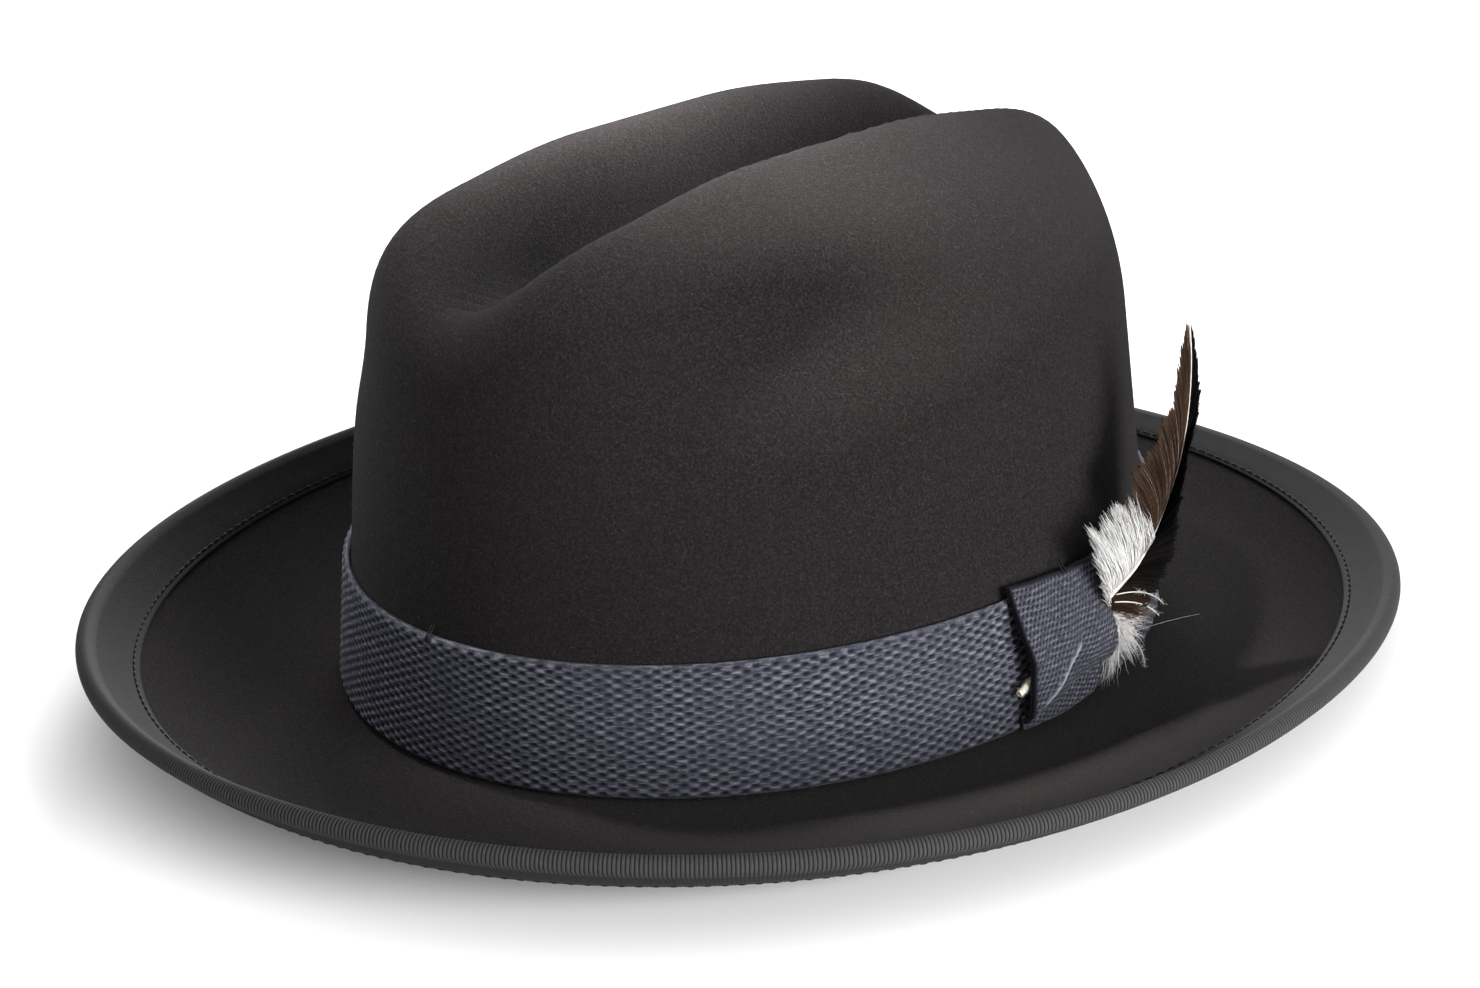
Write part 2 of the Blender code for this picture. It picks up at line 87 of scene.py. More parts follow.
PINCH = 11.5 * MM
PINCH_AT = mm(56.0, -42.0, 91.0)
PINCH_SPREAD = mm(24.0, 40.0, 17.0)
LEVEL = 55.0 * MM
DOME_RISE = 65.0 * MM

RIBBON = 0.45 * MM
BINDING_GAP = 0.42 * MM
BINDING_WING = 10.0 * MM
STITCH_IN = 8.6 * MM
WEBBING = 1.3 * MM
BAND_FOOT = 3.1 * MM
BAND_HEIGHT = 29.0 * MM
BAND_JOIN = 0.4 * MM
BAND_GAP = 0.45 * MM
QUILL_ROOM = 4.3 * MM
QUILL_END = mm(89.2, -13.6, 12.7)
SHAFT_START = mm(87.4, 28.2, 25.6)
SHAFT_PULL_LOW = mm(87.0, 37.3, 28.4)
SHAFT_PULL_HIGH = mm(90.5, 50.6, 48.3)
SHAFT_TIP = mm(93.5, 41.0, 82.2)
LEATHER = 1.0 * MM
SWEAT_DEPTH = 5.95 * MM
SWEAT_FOOT = 1.0 * MM
SWEAT_TOP = 40.0 * MM
REED_RADIUS = 0.7 * MM
REED_DEPTH = 3.95 * MM
TAPE = 0.35 * MM
SEWN_AT = 5.5 * MM
SATIN = 0.4 * MM
LINING_DEPTH = 3.0 * MM
LINING_TOP = 78.0 * MM
LINING_ROUND = 48.0 * MM
LINING_SEAM = 34.0
TINY = 1e-9
FRONT = -math.pi / 2
BACK = math.pi / 2

# ---- Sizes of what only shows ----

FELT_AROUND = 320
RIB_PITCH = 0.86 * MM
RIB_DEPTH = 0.09 * MM
RIB_POINTS = 4
WEAVE_ALONG = 4.1 * MM
WEAVE_UP = BAND_HEIGHT / 14
WEAVE_DEPTH = 0.62 * MM
BAND_COLUMNS = 1168
BAND_ROWS = 85
STITCH_PITCH = 3.3 * MM
STITCH_SHARE = 0.74
STITCH_RADIUS = 0.2 * MM
STITCH_TAPER = np.array([0.7, 1.0, 1.1, 1.1, 1.0, 0.7])
NAP_FIBRES = 7000
NAP_RADII = mm(0.022, 0.018, 0.008)
NAP_FIRST_ROW = 6
NAP_TOP_ROWS = 8

CAMERA_AT = (0.4541, -0.4920, 0.2968)
CAMERA_AIM = (0.0012, -0.0042, 0.0344)
CAMERA_ROLL = -1.85
CAMERA_LENS = 75.4

rng = np.random.default_rng(11)


# ---- Shapes shared with the CAD part ----

def ramp(value, low, high):
    u = np.clip((value - low) / (high - low), 0.0, 1.0)
    return u * u * (3 - 2 * u)


def mix(a, b, part):
    return a * (1 - part) + b * part


def shares(count):
    return np.linspace(0.0, 1.0, count)


def unit(vectors, guard=0.0):
    return vectors / (np.linalg.norm(vectors, axis=-1, keepdims=True) + guard)


def run_along(points):
    """How far each point lies along the line through them all."""
    return np.concatenate([[0.0], np.cumsum(np.linalg.norm(np.diff(points, axis=0), axis=1))])


def half_length(front, rise):
    """Half-length of the crown's outline at a height above the brim, for its front or its back half."""
    return np.where(front, CROWN_FRONT - LEAN_FRONT * rise, CROWN_BACK - LEAN_BACK * rise)


def wall_point(t, z, out=0.0):
    """Point at angle t and height z on the crown's outer wall, moved outwards by out."""
    t = np.asarray(t, dtype=float)
    rise = z - FELT
    half_x = CROWN_X - LEAN_SIDE * rise
    half_y = half_length(np.sin(t) < 0, rise)
    normal_x = np.cos(t) / half_x
    normal_y = np.sin(t) / half_y
    size = np.hypot(normal_x, normal_y)
    x = half_x * np.cos(t) + out * normal_x / size
    y = CROWN_MID_Y + half_y * np.sin(t) + out * normal_y / size
    return np.stack([x, y, z + np.zeros_like(x)], axis=-1)


def soft_max(a, b, rounding):
    near = np.maximum(rounding - np.abs(a - b), 0.0) / rounding
    return np.maximum(a, b) + near * near * rounding / 4


def wall_distance(x, y, z):
    rise = z - FELT
    half_x = CROWN_X - LEAN_SIDE * rise
    half_y = half_length(y < CROWN_MID_Y, rise)
    reach = np.hypot(x, y - CROWN_MID_Y) + TINY
    scale = np.hypot(x / half_x, (y - CROWN_MID_Y) / half_y) + TINY / half_x
    return reach - reach / scale


def top_height(x, y):
    """Height of the crown's top before its edge is rounded: flanks, ridges and the crease between."""
    beyond = np.maximum(np.abs(x) - RIDGE_X, 0.0)
    flank = FLANK_SLOPE * (np.hypot(beyond, RIDGE_ROUND) - RIDGE_ROUND)
    valley = np.cos(np.clip(x / CREASE_HALF, -1.0, 1.0) * math.pi / 2) ** 2
    depth = CREASE_DEPTH * ramp(y, CREASE_FRONT, CREASE_FULL) * (1 - ramp(y, CREASE_FADE, CREASE_BACK))
    drop = FRONT_DROP * ramp(-y, -FRONT_DROP_FROM, -FRONT_DROP_TO)
    drop = drop + BACK_DROP * ramp(y, BACK_DROP_FROM, BACK_DROP_TO)
    return CREST - CREST_FALL * y - drop - flank - depth * valley


def pinch(x, y, z):
    off = (np.stack([np.abs(x), y, z], axis=-1) - PINCH_AT) / PINCH_SPREAD
    return PINCH * np.exp(-np.sum(off ** 2, axis=-1))


def felt_field(x, y, z):
    """Negative inside the crown's outer face, roughly in metres."""
    shoulder = SHOULDER_FRONT + (SHOULDER_BACK - SHOULDER_FRONT) * ramp(y, -50 * MM, 60 * MM)
    return soft_max(wall_distance(x, y, z), z - top_height(x, y), shoulder) + pinch(x, y, z)


def lining_field(x, y, z):
    return soft_max(wall_distance(x, y, z) + LINING_DEPTH, z - LINING_TOP, LINING_ROUND)


def dome_row(field, t, climb, inset):
    """Ring where rays that climb at one angle, in degrees, from the crown's middle meet field = -inset."""
    climb = math.radians(climb)
    side = math.cos(climb)
    ray = np.stack([CROWN_X * np.cos(t) * side, half_length(np.sin(t) < 0, 0.0) * np.sin(t) * side,
                    np.full_like(t, DOME_RISE * math.sin(climb))], axis=-1)
    low = np.full_like(t, 0.1)
    high = np.full_like(t, 2.0)
    for _ in range(40):
        middle = (low + high) / 2
        x, y, z = (ray * middle[:, None]).T
        inside = field(x, y + CROWN_MID_Y, z + LEVEL) < -inset
        low = np.where(inside, middle, low)
        high = np.where(inside, high, middle)
    return ray * low[:, None] + np.array([0.0, CROWN_MID_Y, LEVEL])


def rim_rise(t):
    ends = np.where(np.sin(t) < 0, RIM_RISE_FRONT, RIM_RISE_BACK)
    return RIM_RISE_SIDE * np.cos(t) ** 2 + ends * np.sin(t) ** 2


def brim_point(t, s):
    """Point on the brim's underside, s = 0 at the crown and 1 at the rim."""
    inner = wall_point(t, 0.0, BREAK_RADIUS - FELT)
    curl = max(0.0, (s - CURL_START) / (1 - CURL_START)) ** CURL_POWER
    x = inner[..., 0] * (1 - s) + RIM_X * np.cos(t) * s
    y = inner[..., 1] * (1 - s) + RIM_Y * np.sin(t) * s
    return np.stack([x, y, rim_rise(t) * curl], axis=-1)


def brim_frame(t, s):
    """Underside point with its outward and upward directions."""
    small = 1e-4
    here = brim_point(t, s)
    outward = here - brim_point(t, s - small)
    along = brim_point(t + small, s) - here
    up = unit(np.cross(outward, along))
    return here, unit(np.cross(along, up)), up


def rim_share(distance):
    """The s value that lies the given distance in from the rim."""
    return 1 - distance / (RIM_X - CROWN_X - 2 * MM)


def side_point(y, z, out):
    """Points on the wearer's left, out from the hatband's outer face."""
    y, z, out = np.broadcast_arrays(y, z, out)
    rise = z - FELT
    half_y = half_length(y < CROWN_MID_Y, rise)
    across = np.sqrt(1 - ((y - CROWN_MID_Y) / half_y) ** 2)
    return np.stack([(CROWN_X - LEAN_SIDE * rise) * across + BAND_GAP + WEBBING + out, y, z], axis=-1)


def shaft_point(part):
    """Points on the bent part of the shaft, a cubic curve."""
    part = np.asarray(part, dtype=float)[..., None]
    keep = 1 - part
    return (keep ** 3 * SHAFT_START + 3 * keep ** 2 * part * SHAFT_PULL_LOW
            + 3 * keep * part ** 2 * SHAFT_PULL_HIGH + part ** 3 * SHAFT_TIP)


# ---- Mesh helpers ----

def scatter(*shape):
    return rng.normal(size=shape)


def turns(count, start=FRONT):
    return start + 2 * math.pi * np.arange(count) / count


def even_turns(curve, count):
    """Angles that step evenly along a closed curve, and the curve's length."""
    t = np.linspace(FRONT, FRONT + 2 * math.pi, 2001)
    run = run_along(curve(t))
    return np.interp(np.arange(count) * run[-1] / count, run, t), run[-1]


def cloth_marks(along, up, height):
    """Marks for a cloth's material: the place along it and up it, and how far its threads stand up, which
    the material paints as shade low down and as highlight high up.
    """
    return {"cloth": np.stack(np.broadcast_arrays(along, up, height), axis=-1).reshape(-1, 3)}


def set_down(name, data):
    """A new object in the scene."""
    made = bpy.data.objects.new(name, data)
    bpy.context.scene.collection.objects.link(made)
    return made


def add_piece(name, points, faces, material, body, stands_for=(), marks=None):
    """A mesh object that rides on a body; marks are named values at its points, for its material."""
    mesh = bpy.data.meshes.new(name)
    mesh.from_pydata(np.asarray(points, dtype=float).reshape(-1, 3).tolist(), [], faces)
    for key, values in (marks or {}).items():
        kind, field = ("FLOAT", "value") if np.ndim(values) == 1 else ("FLOAT_VECTOR", "vector")
        layer = mesh.attributes.new(key, kind, "POINT")
        layer.data.foreach_set(field, np.ravel(values).astype(np.float32))
    mesh.materials.append(material)
    mesh.shade_smooth()
    piece = set_down(name, mesh)
    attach(piece, body)
    if stands_for:
        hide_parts(*stands_for)
    return piece


def quad_faces(rows, columns, wrap_rows=False, wrap_columns=False):
    """Faces of a grid whose points run along each row in turn."""
    i = np.arange(rows if wrap_rows else rows - 1)[:, None]
    j = np.arange(columns if wrap_columns else columns - 1)[None, :]
    above = (i + 1) % rows
    beside = (j + 1) % columns
    corners = [i * columns + j, i * columns + beside, above * columns + beside, above * columns + j]
    return np.stack(corners, axis=-1).reshape(-1, 4).tolist()


def thicken(piece, thickness, even=True):
    solid = piece.modifiers.new("thickness", "SOLIDIFY")
    solid.thickness = thickness
    solid.offset = 1.0
    solid.use_even_offset = even


def ring_section(name, rows, material, stands_for, marks, closed=True):
    """A solid swept along its rows' length, whose rows go once round its section."""
    rows = np.asarray(rows)
    count, width = rows.shape[:2]
    faces = quad_faces(count, width, wrap_rows=True, wrap_columns=closed)
    if not closed:
        faces.append([i * width for i in range(count)])
        faces.append([i * width + width - 1 for i in reversed(range(count))])
    add_piece(name, rows, faces, material, "hat", stands_for, marks)


def tubes(name, paths, radii, material, body, sides=4, flat=1.0, stands_for=(), tone=None):
    """One mesh of many thin rods.  paths is (rods, points, 3), and flat below 1 makes each rod a ribbon
    that is thin along X."""
    paths = np.asarray(paths, dtype=float)
    rods, count = paths.shape[:2]
    radii = np.broadcast_to(radii, (rods, count))
    facing = np.array([1.0, 0.0, 0.0])
    run = unit(np.gradient(paths, axis=1), TINY)
    thin = unit(facing - run * (run @ facing)[..., None], TINY)
    wide = np.cross(run, thin)
    rings = []
    for k in range(sides):
        angle = 2 * math.pi * (k + 0.5) / sides
        rings.append(paths + radii[..., None] * (wide * math.cos(angle) + thin * math.sin(angle) * flat))
    points = np.stack(rings, axis=2)
    first = (np.arange(rods) * count * sides)[:, None, None]
    here = first + (np.arange(count - 1) * sides)[None, :, None]
    k = np.arange(sides)
    k_next = (k + 1) % sides
    walls = np.stack([here + k, here + sides + k, here + sides + k_next, here + k_next], axis=-1)
    ends = first[:, 0] + k
    faces = walls.reshape(-1, 4).tolist() + ends.tolist() + (ends[:, ::-1] + (count - 1) * sides).tolist()
    marks = None if tone is None else {"tone": np.repeat(tone, sides, axis=1).ravel()}
    add_piece(name, points, faces, material, body, stands_for, marks)


# ---- Materials ----

def new_finish(name, roughness, shine=0.5, **values):
    material = bpy.data.materials.new(name)
    material.use_nodes = True
    shader = material.node_tree.nodes["Principled BSDF"]
    for key, value in {"Roughness": roughness, "Specular IOR Level": shine, **values}.items():
        shader.inputs[key.replace("_", " ")].default_value = value
    return material, material.node_tree, shader


def put(tree, kind, inputs=None, **settings):
    """A node with its settings and inputs; an input is a number, a tuple or another node's output."""
    made = tree.nodes.new("ShaderNode" + kind)
    for key, value in settings.items():
        setattr(made, key, value)
    for key, value in (inputs or {}).items():
        if isinstance(value, bpy.types.NodeSocket):
            tree.links.new(value, made.inputs[key])
        else:
            made.inputs[key].default_value = value
    return made


def place_in(tree):
    return put(tree, "TexCoord").outputs["Object"]


def stretched(tree, vector, scale, turn=(0.0, 0.0, 0.0)):
    inputs = {"Vector": vector, "Scale": scale, "Rotation": turn}
    return put(tree, "Mapping", inputs).outputs["Vector"]


def noise(tree, vector, scale, detail=2.0, roughness=0.5, distortion=0.0):
    inputs = {"Vector": vector, "Scale": scale, "Detail": detail, "Roughness": roughness,
              "Distortion": distortion}
    return put(tree, "TexNoise", inputs).outputs["Fac"]


def levels(tree, value, low, high, to_low=0.0, to_high=1.0):
    inputs = {"Value": value, "From Min": low, "From Max": high, "To Min": to_low, "To Max": to_high}
    return put(tree, "MapRange", inputs).outputs["Result"]


def blend_colours(tree, factor, first, second):
    inputs = {0: factor}
    for place, value in ((6, first), (7, second)):
        inputs[place] = value if isinstance(value, bpy.types.NodeSocket) else (*value, 1.0)
    return put(tree, "Mix", inputs, data_type="RGBA").outputs[2]


def colour_between(tree, shader, factor, first, second):
    tree.links.new(blend_colours(tree, factor, first, second), shader.inputs["Base Color"])


def maths(tree, how, first, second):
    return put(tree, "Math", {0: first, 1: second}, operation=how).outputs[0]


def bump(tree, shader, height, distance, strength=1.0):
    made = put(tree, "Bump", {"Height": height, "Distance": distance, "Strength": strength})
    tree.links.new(made.outputs["Normal"], shader.inputs["Normal"])


def felt_finish():
    material, tree, shader = new_finish("felt_brushed", 0.95, 0.0, Sheen_Weight=0.03, Sheen_Roughness=0.5,
                                        Sheen_Tint=(0.80, 0.78, 0.78, 1.0))
    place = place_in(tree)
    fibre = noise(tree, place, 3000.0, detail=3.0, roughness=0.6, distortion=0.8)
    nap = noise(tree, place, 1700.0, detail=4.0, roughness=0.6, distortion=0.4)
    cloud = levels(tree, noise(tree, place, 14.0, detail=3.0), 0.35, 0.65)
    dark = blend_colours(tree, cloud, (0.0056, 0.0050, 0.0051), (0.0074, 0.0066, 0.0066))
    light = blend_colours(tree, levels(tree, nap, 0.42, 0.75), dark, (0.0162, 0.0146, 0.0148))
    colour_between(tree, shader, levels(tree, fibre, 0.60, 0.80), light, (0.048, 0.044, 0.044))
    bump(tree, shader, maths(tree, "ADD", fibre, nap), 0.00022, 0.8)
    return material


def nap_finish():
    material, tree, shader = new_finish("felt_fibre", 0.8, 0.1)
    tint = levels(tree, noise(tree, place_in(tree), 300.0), 0.4, 0.6)
    colour_between(tree, shader, tint, (0.018, 0.017, 0.017), (0.06, 0.057, 0.055))
    return material


def cloth_place(tree):
    """The marked place on the cloth, and how far its threads stand up there, which sets its painted shade
    and painted highlight.
    """
    vector = put(tree, "Attribute", attribute_name="cloth").outputs["Vector"]
    return vector, put(tree, "SeparateXYZ", {"Vector": vector}).outputs["Z"]


def woven_finish(name, gap, thread, tip, fold_highlight, twist):
    """Cotton webbing: painted shade between its threads, painted highlight on top of them, with the
    threads' own twist.
    """
    material, tree, shader = new_finish(name, 0.9, 0.06, Sheen_Weight=0.025, Sheen_Roughness=0.4)
    vector, height = cloth_place(tree)
    strands = noise(tree, stretched(tree, vector, (420.0, 2100.0, 0.0), (0.0, 0.0, twist)), 1.0)
    patches = noise(tree, place_in(tree), 45.0)
    # Painted shade: low marks, between the threads, take the dark gap colour.
    body = blend_colours(tree, levels(tree, height, 0.15, 0.85), gap, thread)
    # Painted highlight: high marks, on top of the floats, take the pale tip colour along the strands.
    highlight_mask = maths(tree, "MULTIPLY", levels(tree, height, 0.55, 1.0), levels(tree, strands, 0.42, 0.66))
    shaded_and_highlit = blend_colours(tree, highlight_mask, body, tip)
    shade = blend_colours(tree, levels(tree, patches, 0.35, 0.65, 0.0, 0.35), shaded_and_highlit, thread)
    # Painted highlight: marks above 1.05, on a rolled fold, take the pale fold colour.
    colour_between(tree, shader, levels(tree, height, 1.05, 1.45), shade, fold_highlight)
    bump(tree, shader, strands, 0.0002, 0.8)
    return material


def ribbon_finish(name, gap, thread):
    material, tree, shader = new_finish(name, 0.8, 0.04, Sheen_Weight=0.02, Sheen_Roughness=0.4)
    vector, height = cloth_place(tree)
    strands = noise(tree, stretched(tree, vector, (3200.0, 500.0, 0.0)), 1.0)
    # Painted shade and highlight: low marks, in the rib hollows, take the dark gap colour, and high marks,
    # on top of the ribs, the lit thread colour.
    top = levels(tree, height, 0.1, 0.95)
    lit = maths(tree, "MULTIPLY", top, levels(tree, strands, 0.3, 0.7, 0.7, 1.0))
    colour_between(tree, shader, lit, gap, thread)
    bump(tree, shader, strands, 0.00008, 0.6)
    return material


def thread_finish(name, colour, pale):
    material, tree, shader = new_finish(name, 0.75, 0.1)
    twist = noise(tree, stretched(tree, place_in(tree), (1.0, 1.0, 2.5), (0.4, 0.5, 0.7)), 2600.0)
    colour_between(tree, shader, levels(tree, twist, 0.4, 0.65), colour, pale)
    bump(tree, shader, twist, 0.00008, 0.7)
    return material


def barb_finish(name, dark, light, roughness=0.55):
    """Feather barbs: tone 0 is the first colour, 1 the second, with streaks along the barbs."""
    material, tree, shader = new_finish(name, roughness, 0.03)
    tone = put(tree, "Attribute", attribute_name="tone").outputs["Fac"]
    fine = noise(tree, stretched(tree, place_in(tree), (1.0, 2.2, 0.5), (0.25, 0.0, 0.0)), 900.0, 3.0)
    mixed = maths(tree, "ADD", tone, levels(tree, fine, 0.3, 0.7, -0.16, 0.16))
    colour_between(tree, shader, mixed, dark, light)
    bump(tree, shader, fine, 0.00006, 0.5)
    return material


def leather_finish():
    material, tree, shader = new_finish("sweat_leather", 0.45, Coat_Weight=0.12, Coat_Roughness=0.35)
    place = place_in(tree)
    grain = put(tree, "TexVoronoi", {"Vector": place, "Scale": 900.0}, feature="DISTANCE_TO_EDGE")
    pores = levels(tree, grain.outputs["Distance"], 0.0, 0.25)
    stain = noise(tree, place, 40.0, detail=4.0)
    stained = levels(tree, stain, 0.35, 0.7)
    colour = blend_colours(tree, stained, (0.115, 0.052, 0.024), (0.19, 0.095, 0.048))
    colour_between(tree, shader, pores, (0.07, 0.03, 0.015), colour)
    tree.links.new(levels(tree, stain, 0.3, 0.7, 0.38, 0.56), shader.inputs["Roughness"])
    bump(tree, shader, pores, 0.00012, 0.6)
    return material


def satin_finish():
    material, tree, shader = new_finish("lining_satin_cloth", 0.3, 0.6, Anisotropic=0.5, Sheen_Weight=0.3)
    place = place_in(tree)
    warp = noise(tree, stretched(tree, place, (1.0, 1.0, 9.0)), 420.0)
    cloud = levels(tree, noise(tree, place, 30.0), 0.35, 0.65)
    colour_between(tree, shader, cloud, (0.085, 0.078, 0.08), (0.135, 0.125, 0.128))
    tree.links.new(levels(tree, warp, 0.3, 0.7, 0.24, 0.42), shader.inputs["Roughness"])
    bump(tree, shader, warp, 0.00005, 0.5)
    return material


def plain_finish(name, low, high, scale, roughness, **values):
    """A matt or horn-like surface with a slight cloudiness and unevenness."""
    material, tree, shader = new_finish(name, roughness, **values)
    cloud = noise(tree, place_in(tree), scale, detail=3.0)
    colour_between(tree, shader, levels(tree, cloud, 0.35, 0.65), low, high)
    bump(tree, shader, cloud, 0.0001, 0.4)
    return material


def film_finish():
    return new_finish("clear_shield", 0.06, Base_Color=(0.96, 0.96, 0.96, 1.0), Transmission_Weight=1.0,
                      IOR=1.3)[0]


def floor_finish():
    material, tree, shader = new_finish("pale_floor", 0.9, 0.1)
    cloud = noise(tree, place_in(tree), 1.5)
    colour_between(tree, shader, cloud, (0.90, 0.90, 0.90), (0.92, 0.92, 0.92))
    return material


# ---- Felt ----

def felt_rows():
    """Rows of the felt's inner face, from the rim along the underside and up into the crown."""
    t = turns(FELT_AROUND)
    rows = [brim_point(t, s) for s in np.linspace(1.0, 0.06, 44)]
    for bend in np.radians(np.linspace(0.0, 75.0, 6)):
        row = wall_point(t, 0.0, BREAK_RADIUS * (1 - math.sin(bend)) - FELT)
        row[:, 2] = BREAK_RADIUS * (1 - math.cos(bend))
        rows.append(row)
    rows += [wall_point(t, z, -FELT) for z in np.linspace(BREAK_RADIUS, 44 * MM, 14)]
    rows += [dome_row(felt_field, t, climb, FELT) for climb in np.linspace(-8.0, 88.0, 62)]
    return np.array(rows)


def dome_sheet(name, rows, thickness, finish, node, pole=True):
    """Rings of points made into one cloth; a pole closes it at its top."""
    width = len(rows[0])
    points = np.concatenate(rows)
    faces = quad_faces(len(rows), width, wrap_columns=True)
    if pole:
        points = np.concatenate([points, rows[-1].mean(axis=0)[None, :]])
        last = (len(rows) - 1) * width
        faces += [(last + j, last + (j + 1) % width, len(points) - 1) for j in range(width)]
    thicken(add_piece(name, points, faces, finish, "hat", [node]), thickness)


def make_felt():
    rows = felt_rows()
    dome_sheet("felt_hat", rows, FELT, felt_finish(), "felt_body")
    make_nap(rows)


def make_nap(rows):
    """Single fibres that stand off the felt."""
    along = np.roll(rows, -1, axis=1) - rows
    out = unit(np.cross(along, np.gradient(rows, axis=0)), TINY)
    i = rng.integers(NAP_FIRST_ROW, len(rows) - NAP_TOP_ROWS, NAP_FIBRES)
    j = rng.integers(0, FELT_AROUND, NAP_FIBRES)
    roots = rows[i, j] + out[i, j] * FELT * 0.98
    lean = scatter(NAP_FIBRES, 3)
    lean = unit(lean - out[i, j] * np.sum(lean * out[i, j], axis=1, keepdims=True))
    reach = rng.uniform(0.5, 1.5, (NAP_FIBRES, 1)) * MM
    stand = rng.uniform(0.15, 0.55, (NAP_FIBRES, 1)) * MM
    middle = roots + lean * reach * 0.45 + out[i, j] * stand
    tips = roots + lean * reach + out[i, j] * stand * 0.9
    paths = np.stack([roots, middle, tips], axis=1)
    tubes("felt_nap_fibres", paths, NAP_RADII, nap_finish(), "hat", sides=3)


# ---- Binding ----

def make_binding():
    """Ribbed ribbon laid along the underside, round the rim and back along the top."""
    def rim(t):
        return brim_point(t, 1.0)

    ribs = round(even_turns(rim, 2)[1] / RIB_PITCH)
    count = ribs * RIB_POINTS
    t, length = even_turns(rim, count)
    run = np.arange(count) * length / count
    wave = np.abs(np.cos(math.pi * run / (length / ribs))) ** 0.6
    outer = []
    inner = []
    heights = []
    wings = [(BINDING_WING, 0.35), (9.6 * MM, 0.8), (STITCH_IN, 0.45), (7.6 * MM, 0.9), (6.0 * MM, 1.0),
             (4.0 * MM, 1.0), (2.4 * MM, 1.0), (1.2 * MM, 1.0), (0.5 * MM, 1.0)]

    def lay_wing(wing, base, side):
        for back, fullness in wing:
            here, _, up = brim_frame(t, rim_share(back))
            stand = base + RIBBON * fullness + RIB_DEPTH * fullness * wave
            outer.append(here + up * side * stand[:, None])
            inner.append(here + up * side * base)
            # Painted shade: rows more than a millimetre in from the rim get a fifth of the rib mark, so the
            # flat wings are painted darker than the rounded rim.
            heights.append(wave * fullness * (0.2 if back > 1.0 * MM else 0.8))

    lay_wing(wings, BINDING_GAP, -1)
    here, out, up = brim_frame(t, 1.0)
    middle = here + up * FELT / 2
    reach = (FELT / 2 + BINDING_GAP) * 1.08
    for bend in np.radians(np.linspace(-66, 66, 9)):
        way = out * math.cos(bend) + up * math.sin(bend)
        outer.append(middle + way * (reach + RIBBON + RIB_DEPTH * wave)[:, None])
        inner.append(middle + way * reach)
        # Painted highlight: the rounded rim keeps the full rib mark, paler than the wings.
        heights.append(wave)
    lay_wing(reversed(wings), FELT + BINDING_GAP, 1)
    rows = outer + inner[::-3]
    # Painted shade: the ribbon's inner face, against the felt, is marked flat and takes the dark gap
    # colour.
    heights += [np.zeros(count)] * (len(rows) - len(outer))
    across = np.arange(len(rows))[:, None] * 0.8 * MM
    # The first colour is the painted shade in the rib hollows, the second the lit thread colour.
    finish = ribbon_finish("binding_grosgrain", (0.004, 0.004, 0.0042), (0.040, 0.0390, 0.0390))
    ring_section("brim_edge_binding", rows, finish, ["brim_binding"],
                 cloth_marks(run, across, heights))


def threads(name, paths, radii, finish, node):
    tubes(name, paths, radii, finish, "hat", sides=6, stands_for=[node])


def stitch_row(name, curve, face, finish, node, pitch=STITCH_PITCH):
    """Single stitches laid end to end along a closed curve, each dipping into the cloth at its ends."""
    length = even_turns(curve, 2)[1]
    stitches = round(length / pitch)
    samples = len(STITCH_TAPER)
    parts = (np.arange(stitches)[:, None] + np.linspace(0, STITCH_SHARE, samples)) * length / stitches
    t = np.linspace(FRONT, FRONT + 2 * math.pi, 4001)
    angle = np.interp(parts.ravel(), run_along(curve(t)), t)
    arch = np.sin(np.linspace(0.0, math.pi, samples)) ** 0.5
    lift = np.tile(arch, stitches)[:, None] * STITCH_RADIUS * 1.6
    paths = (curve(angle) + face(angle) * (lift - STITCH_RADIUS)).reshape(stitches, samples, 3)
    threads(name, paths, STITCH_RADIUS * STITCH_TAPER, finish, node)


def make_binding_stitches(finish):
    share = rim_share(STITCH_IN)
    top = FELT + BINDING_GAP + RIBBON * 0.55 + STITCH_RADIUS
    under = BINDING_GAP + RIBBON * 0.55 + STITCH_RADIUS * 0.15

    def up_at(t):
        return brim_frame(t, share)[2]

    stitch_row("binding_top_stitches", lambda t: brim_point(t, share) + up_at(t) * top, up_at, finish,
               "binding_top_stitch")
    stitch_row("binding_under_stitches", lambda t: brim_point(t, share) - up_at(t) * under,
               lambda t: -up_at(t), finish, "binding_under_stitch")


# ---- Band, knot and tail ----

def weave(along, up, pitch_along=WEAVE_ALONG, pitch_up=WEAVE_UP):
    """Height, 0 to 1, of staggered floats of thread."""
    lattice = np.cos(2 * math.pi * along / pitch_along) * np.cos(2 * math.pi * up / pitch_up)
    return 1 - ((1 - lattice) / 2) ** 2


def make_hatband(finish):
    half = math.asin(BAND_JOIN / CROWN_X)
    t = np.linspace(half, 2 * math.pi - half, 4001)
    run = run_along(wall_point(t, BAND_FOOT + BAND_HEIGHT / 2))
    along = np.linspace(0.0, run[-1], BAND_COLUMNS)
    t = np.interp(along, run, t)
    rows = []
    heights = []
    fronts = np.linspace(0.0, BAND_HEIGHT, BAND_ROWS)
    for up in fronts:
        edge = ramp(min(up, BAND_HEIGHT - up), 0.0, 0.9 * MM)
        selvedge = 0.45 + 0.35 * np.cos(2 * math.pi * along / (WEAVE_ALONG / 4))
        height = mix(selvedge, weave(along, up), edge)
        crown = WEBBING * (0.55 + 0.45 * edge)
        relief = (height - 0.6) * WEAVE_DEPTH * (0.3 + 0.7 * edge)
        rows.append(wall_point(t, BAND_FOOT + up, BAND_GAP + crown + relief))
        heights.append(mix(0.9, height, edge))
    backs = np.array([1.0, 0.5, 0.0]) * BAND_HEIGHT
    for up in backs:
        rows.append(wall_point(t, BAND_FOOT + up, BAND_GAP))
        # Painted shade: the back rows' low mark darkens the band's back, the sides of its edges and its cut
        # ends, where it lies against the felt.
        heights.append(np.full(BAND_COLUMNS, 0.3))
    ups = np.concatenate([fronts, backs])[:, None]
    ring_section("webbing_hatband", rows, finish, ["hatband"], cloth_marks(along, ups, heights),
                 closed=False)


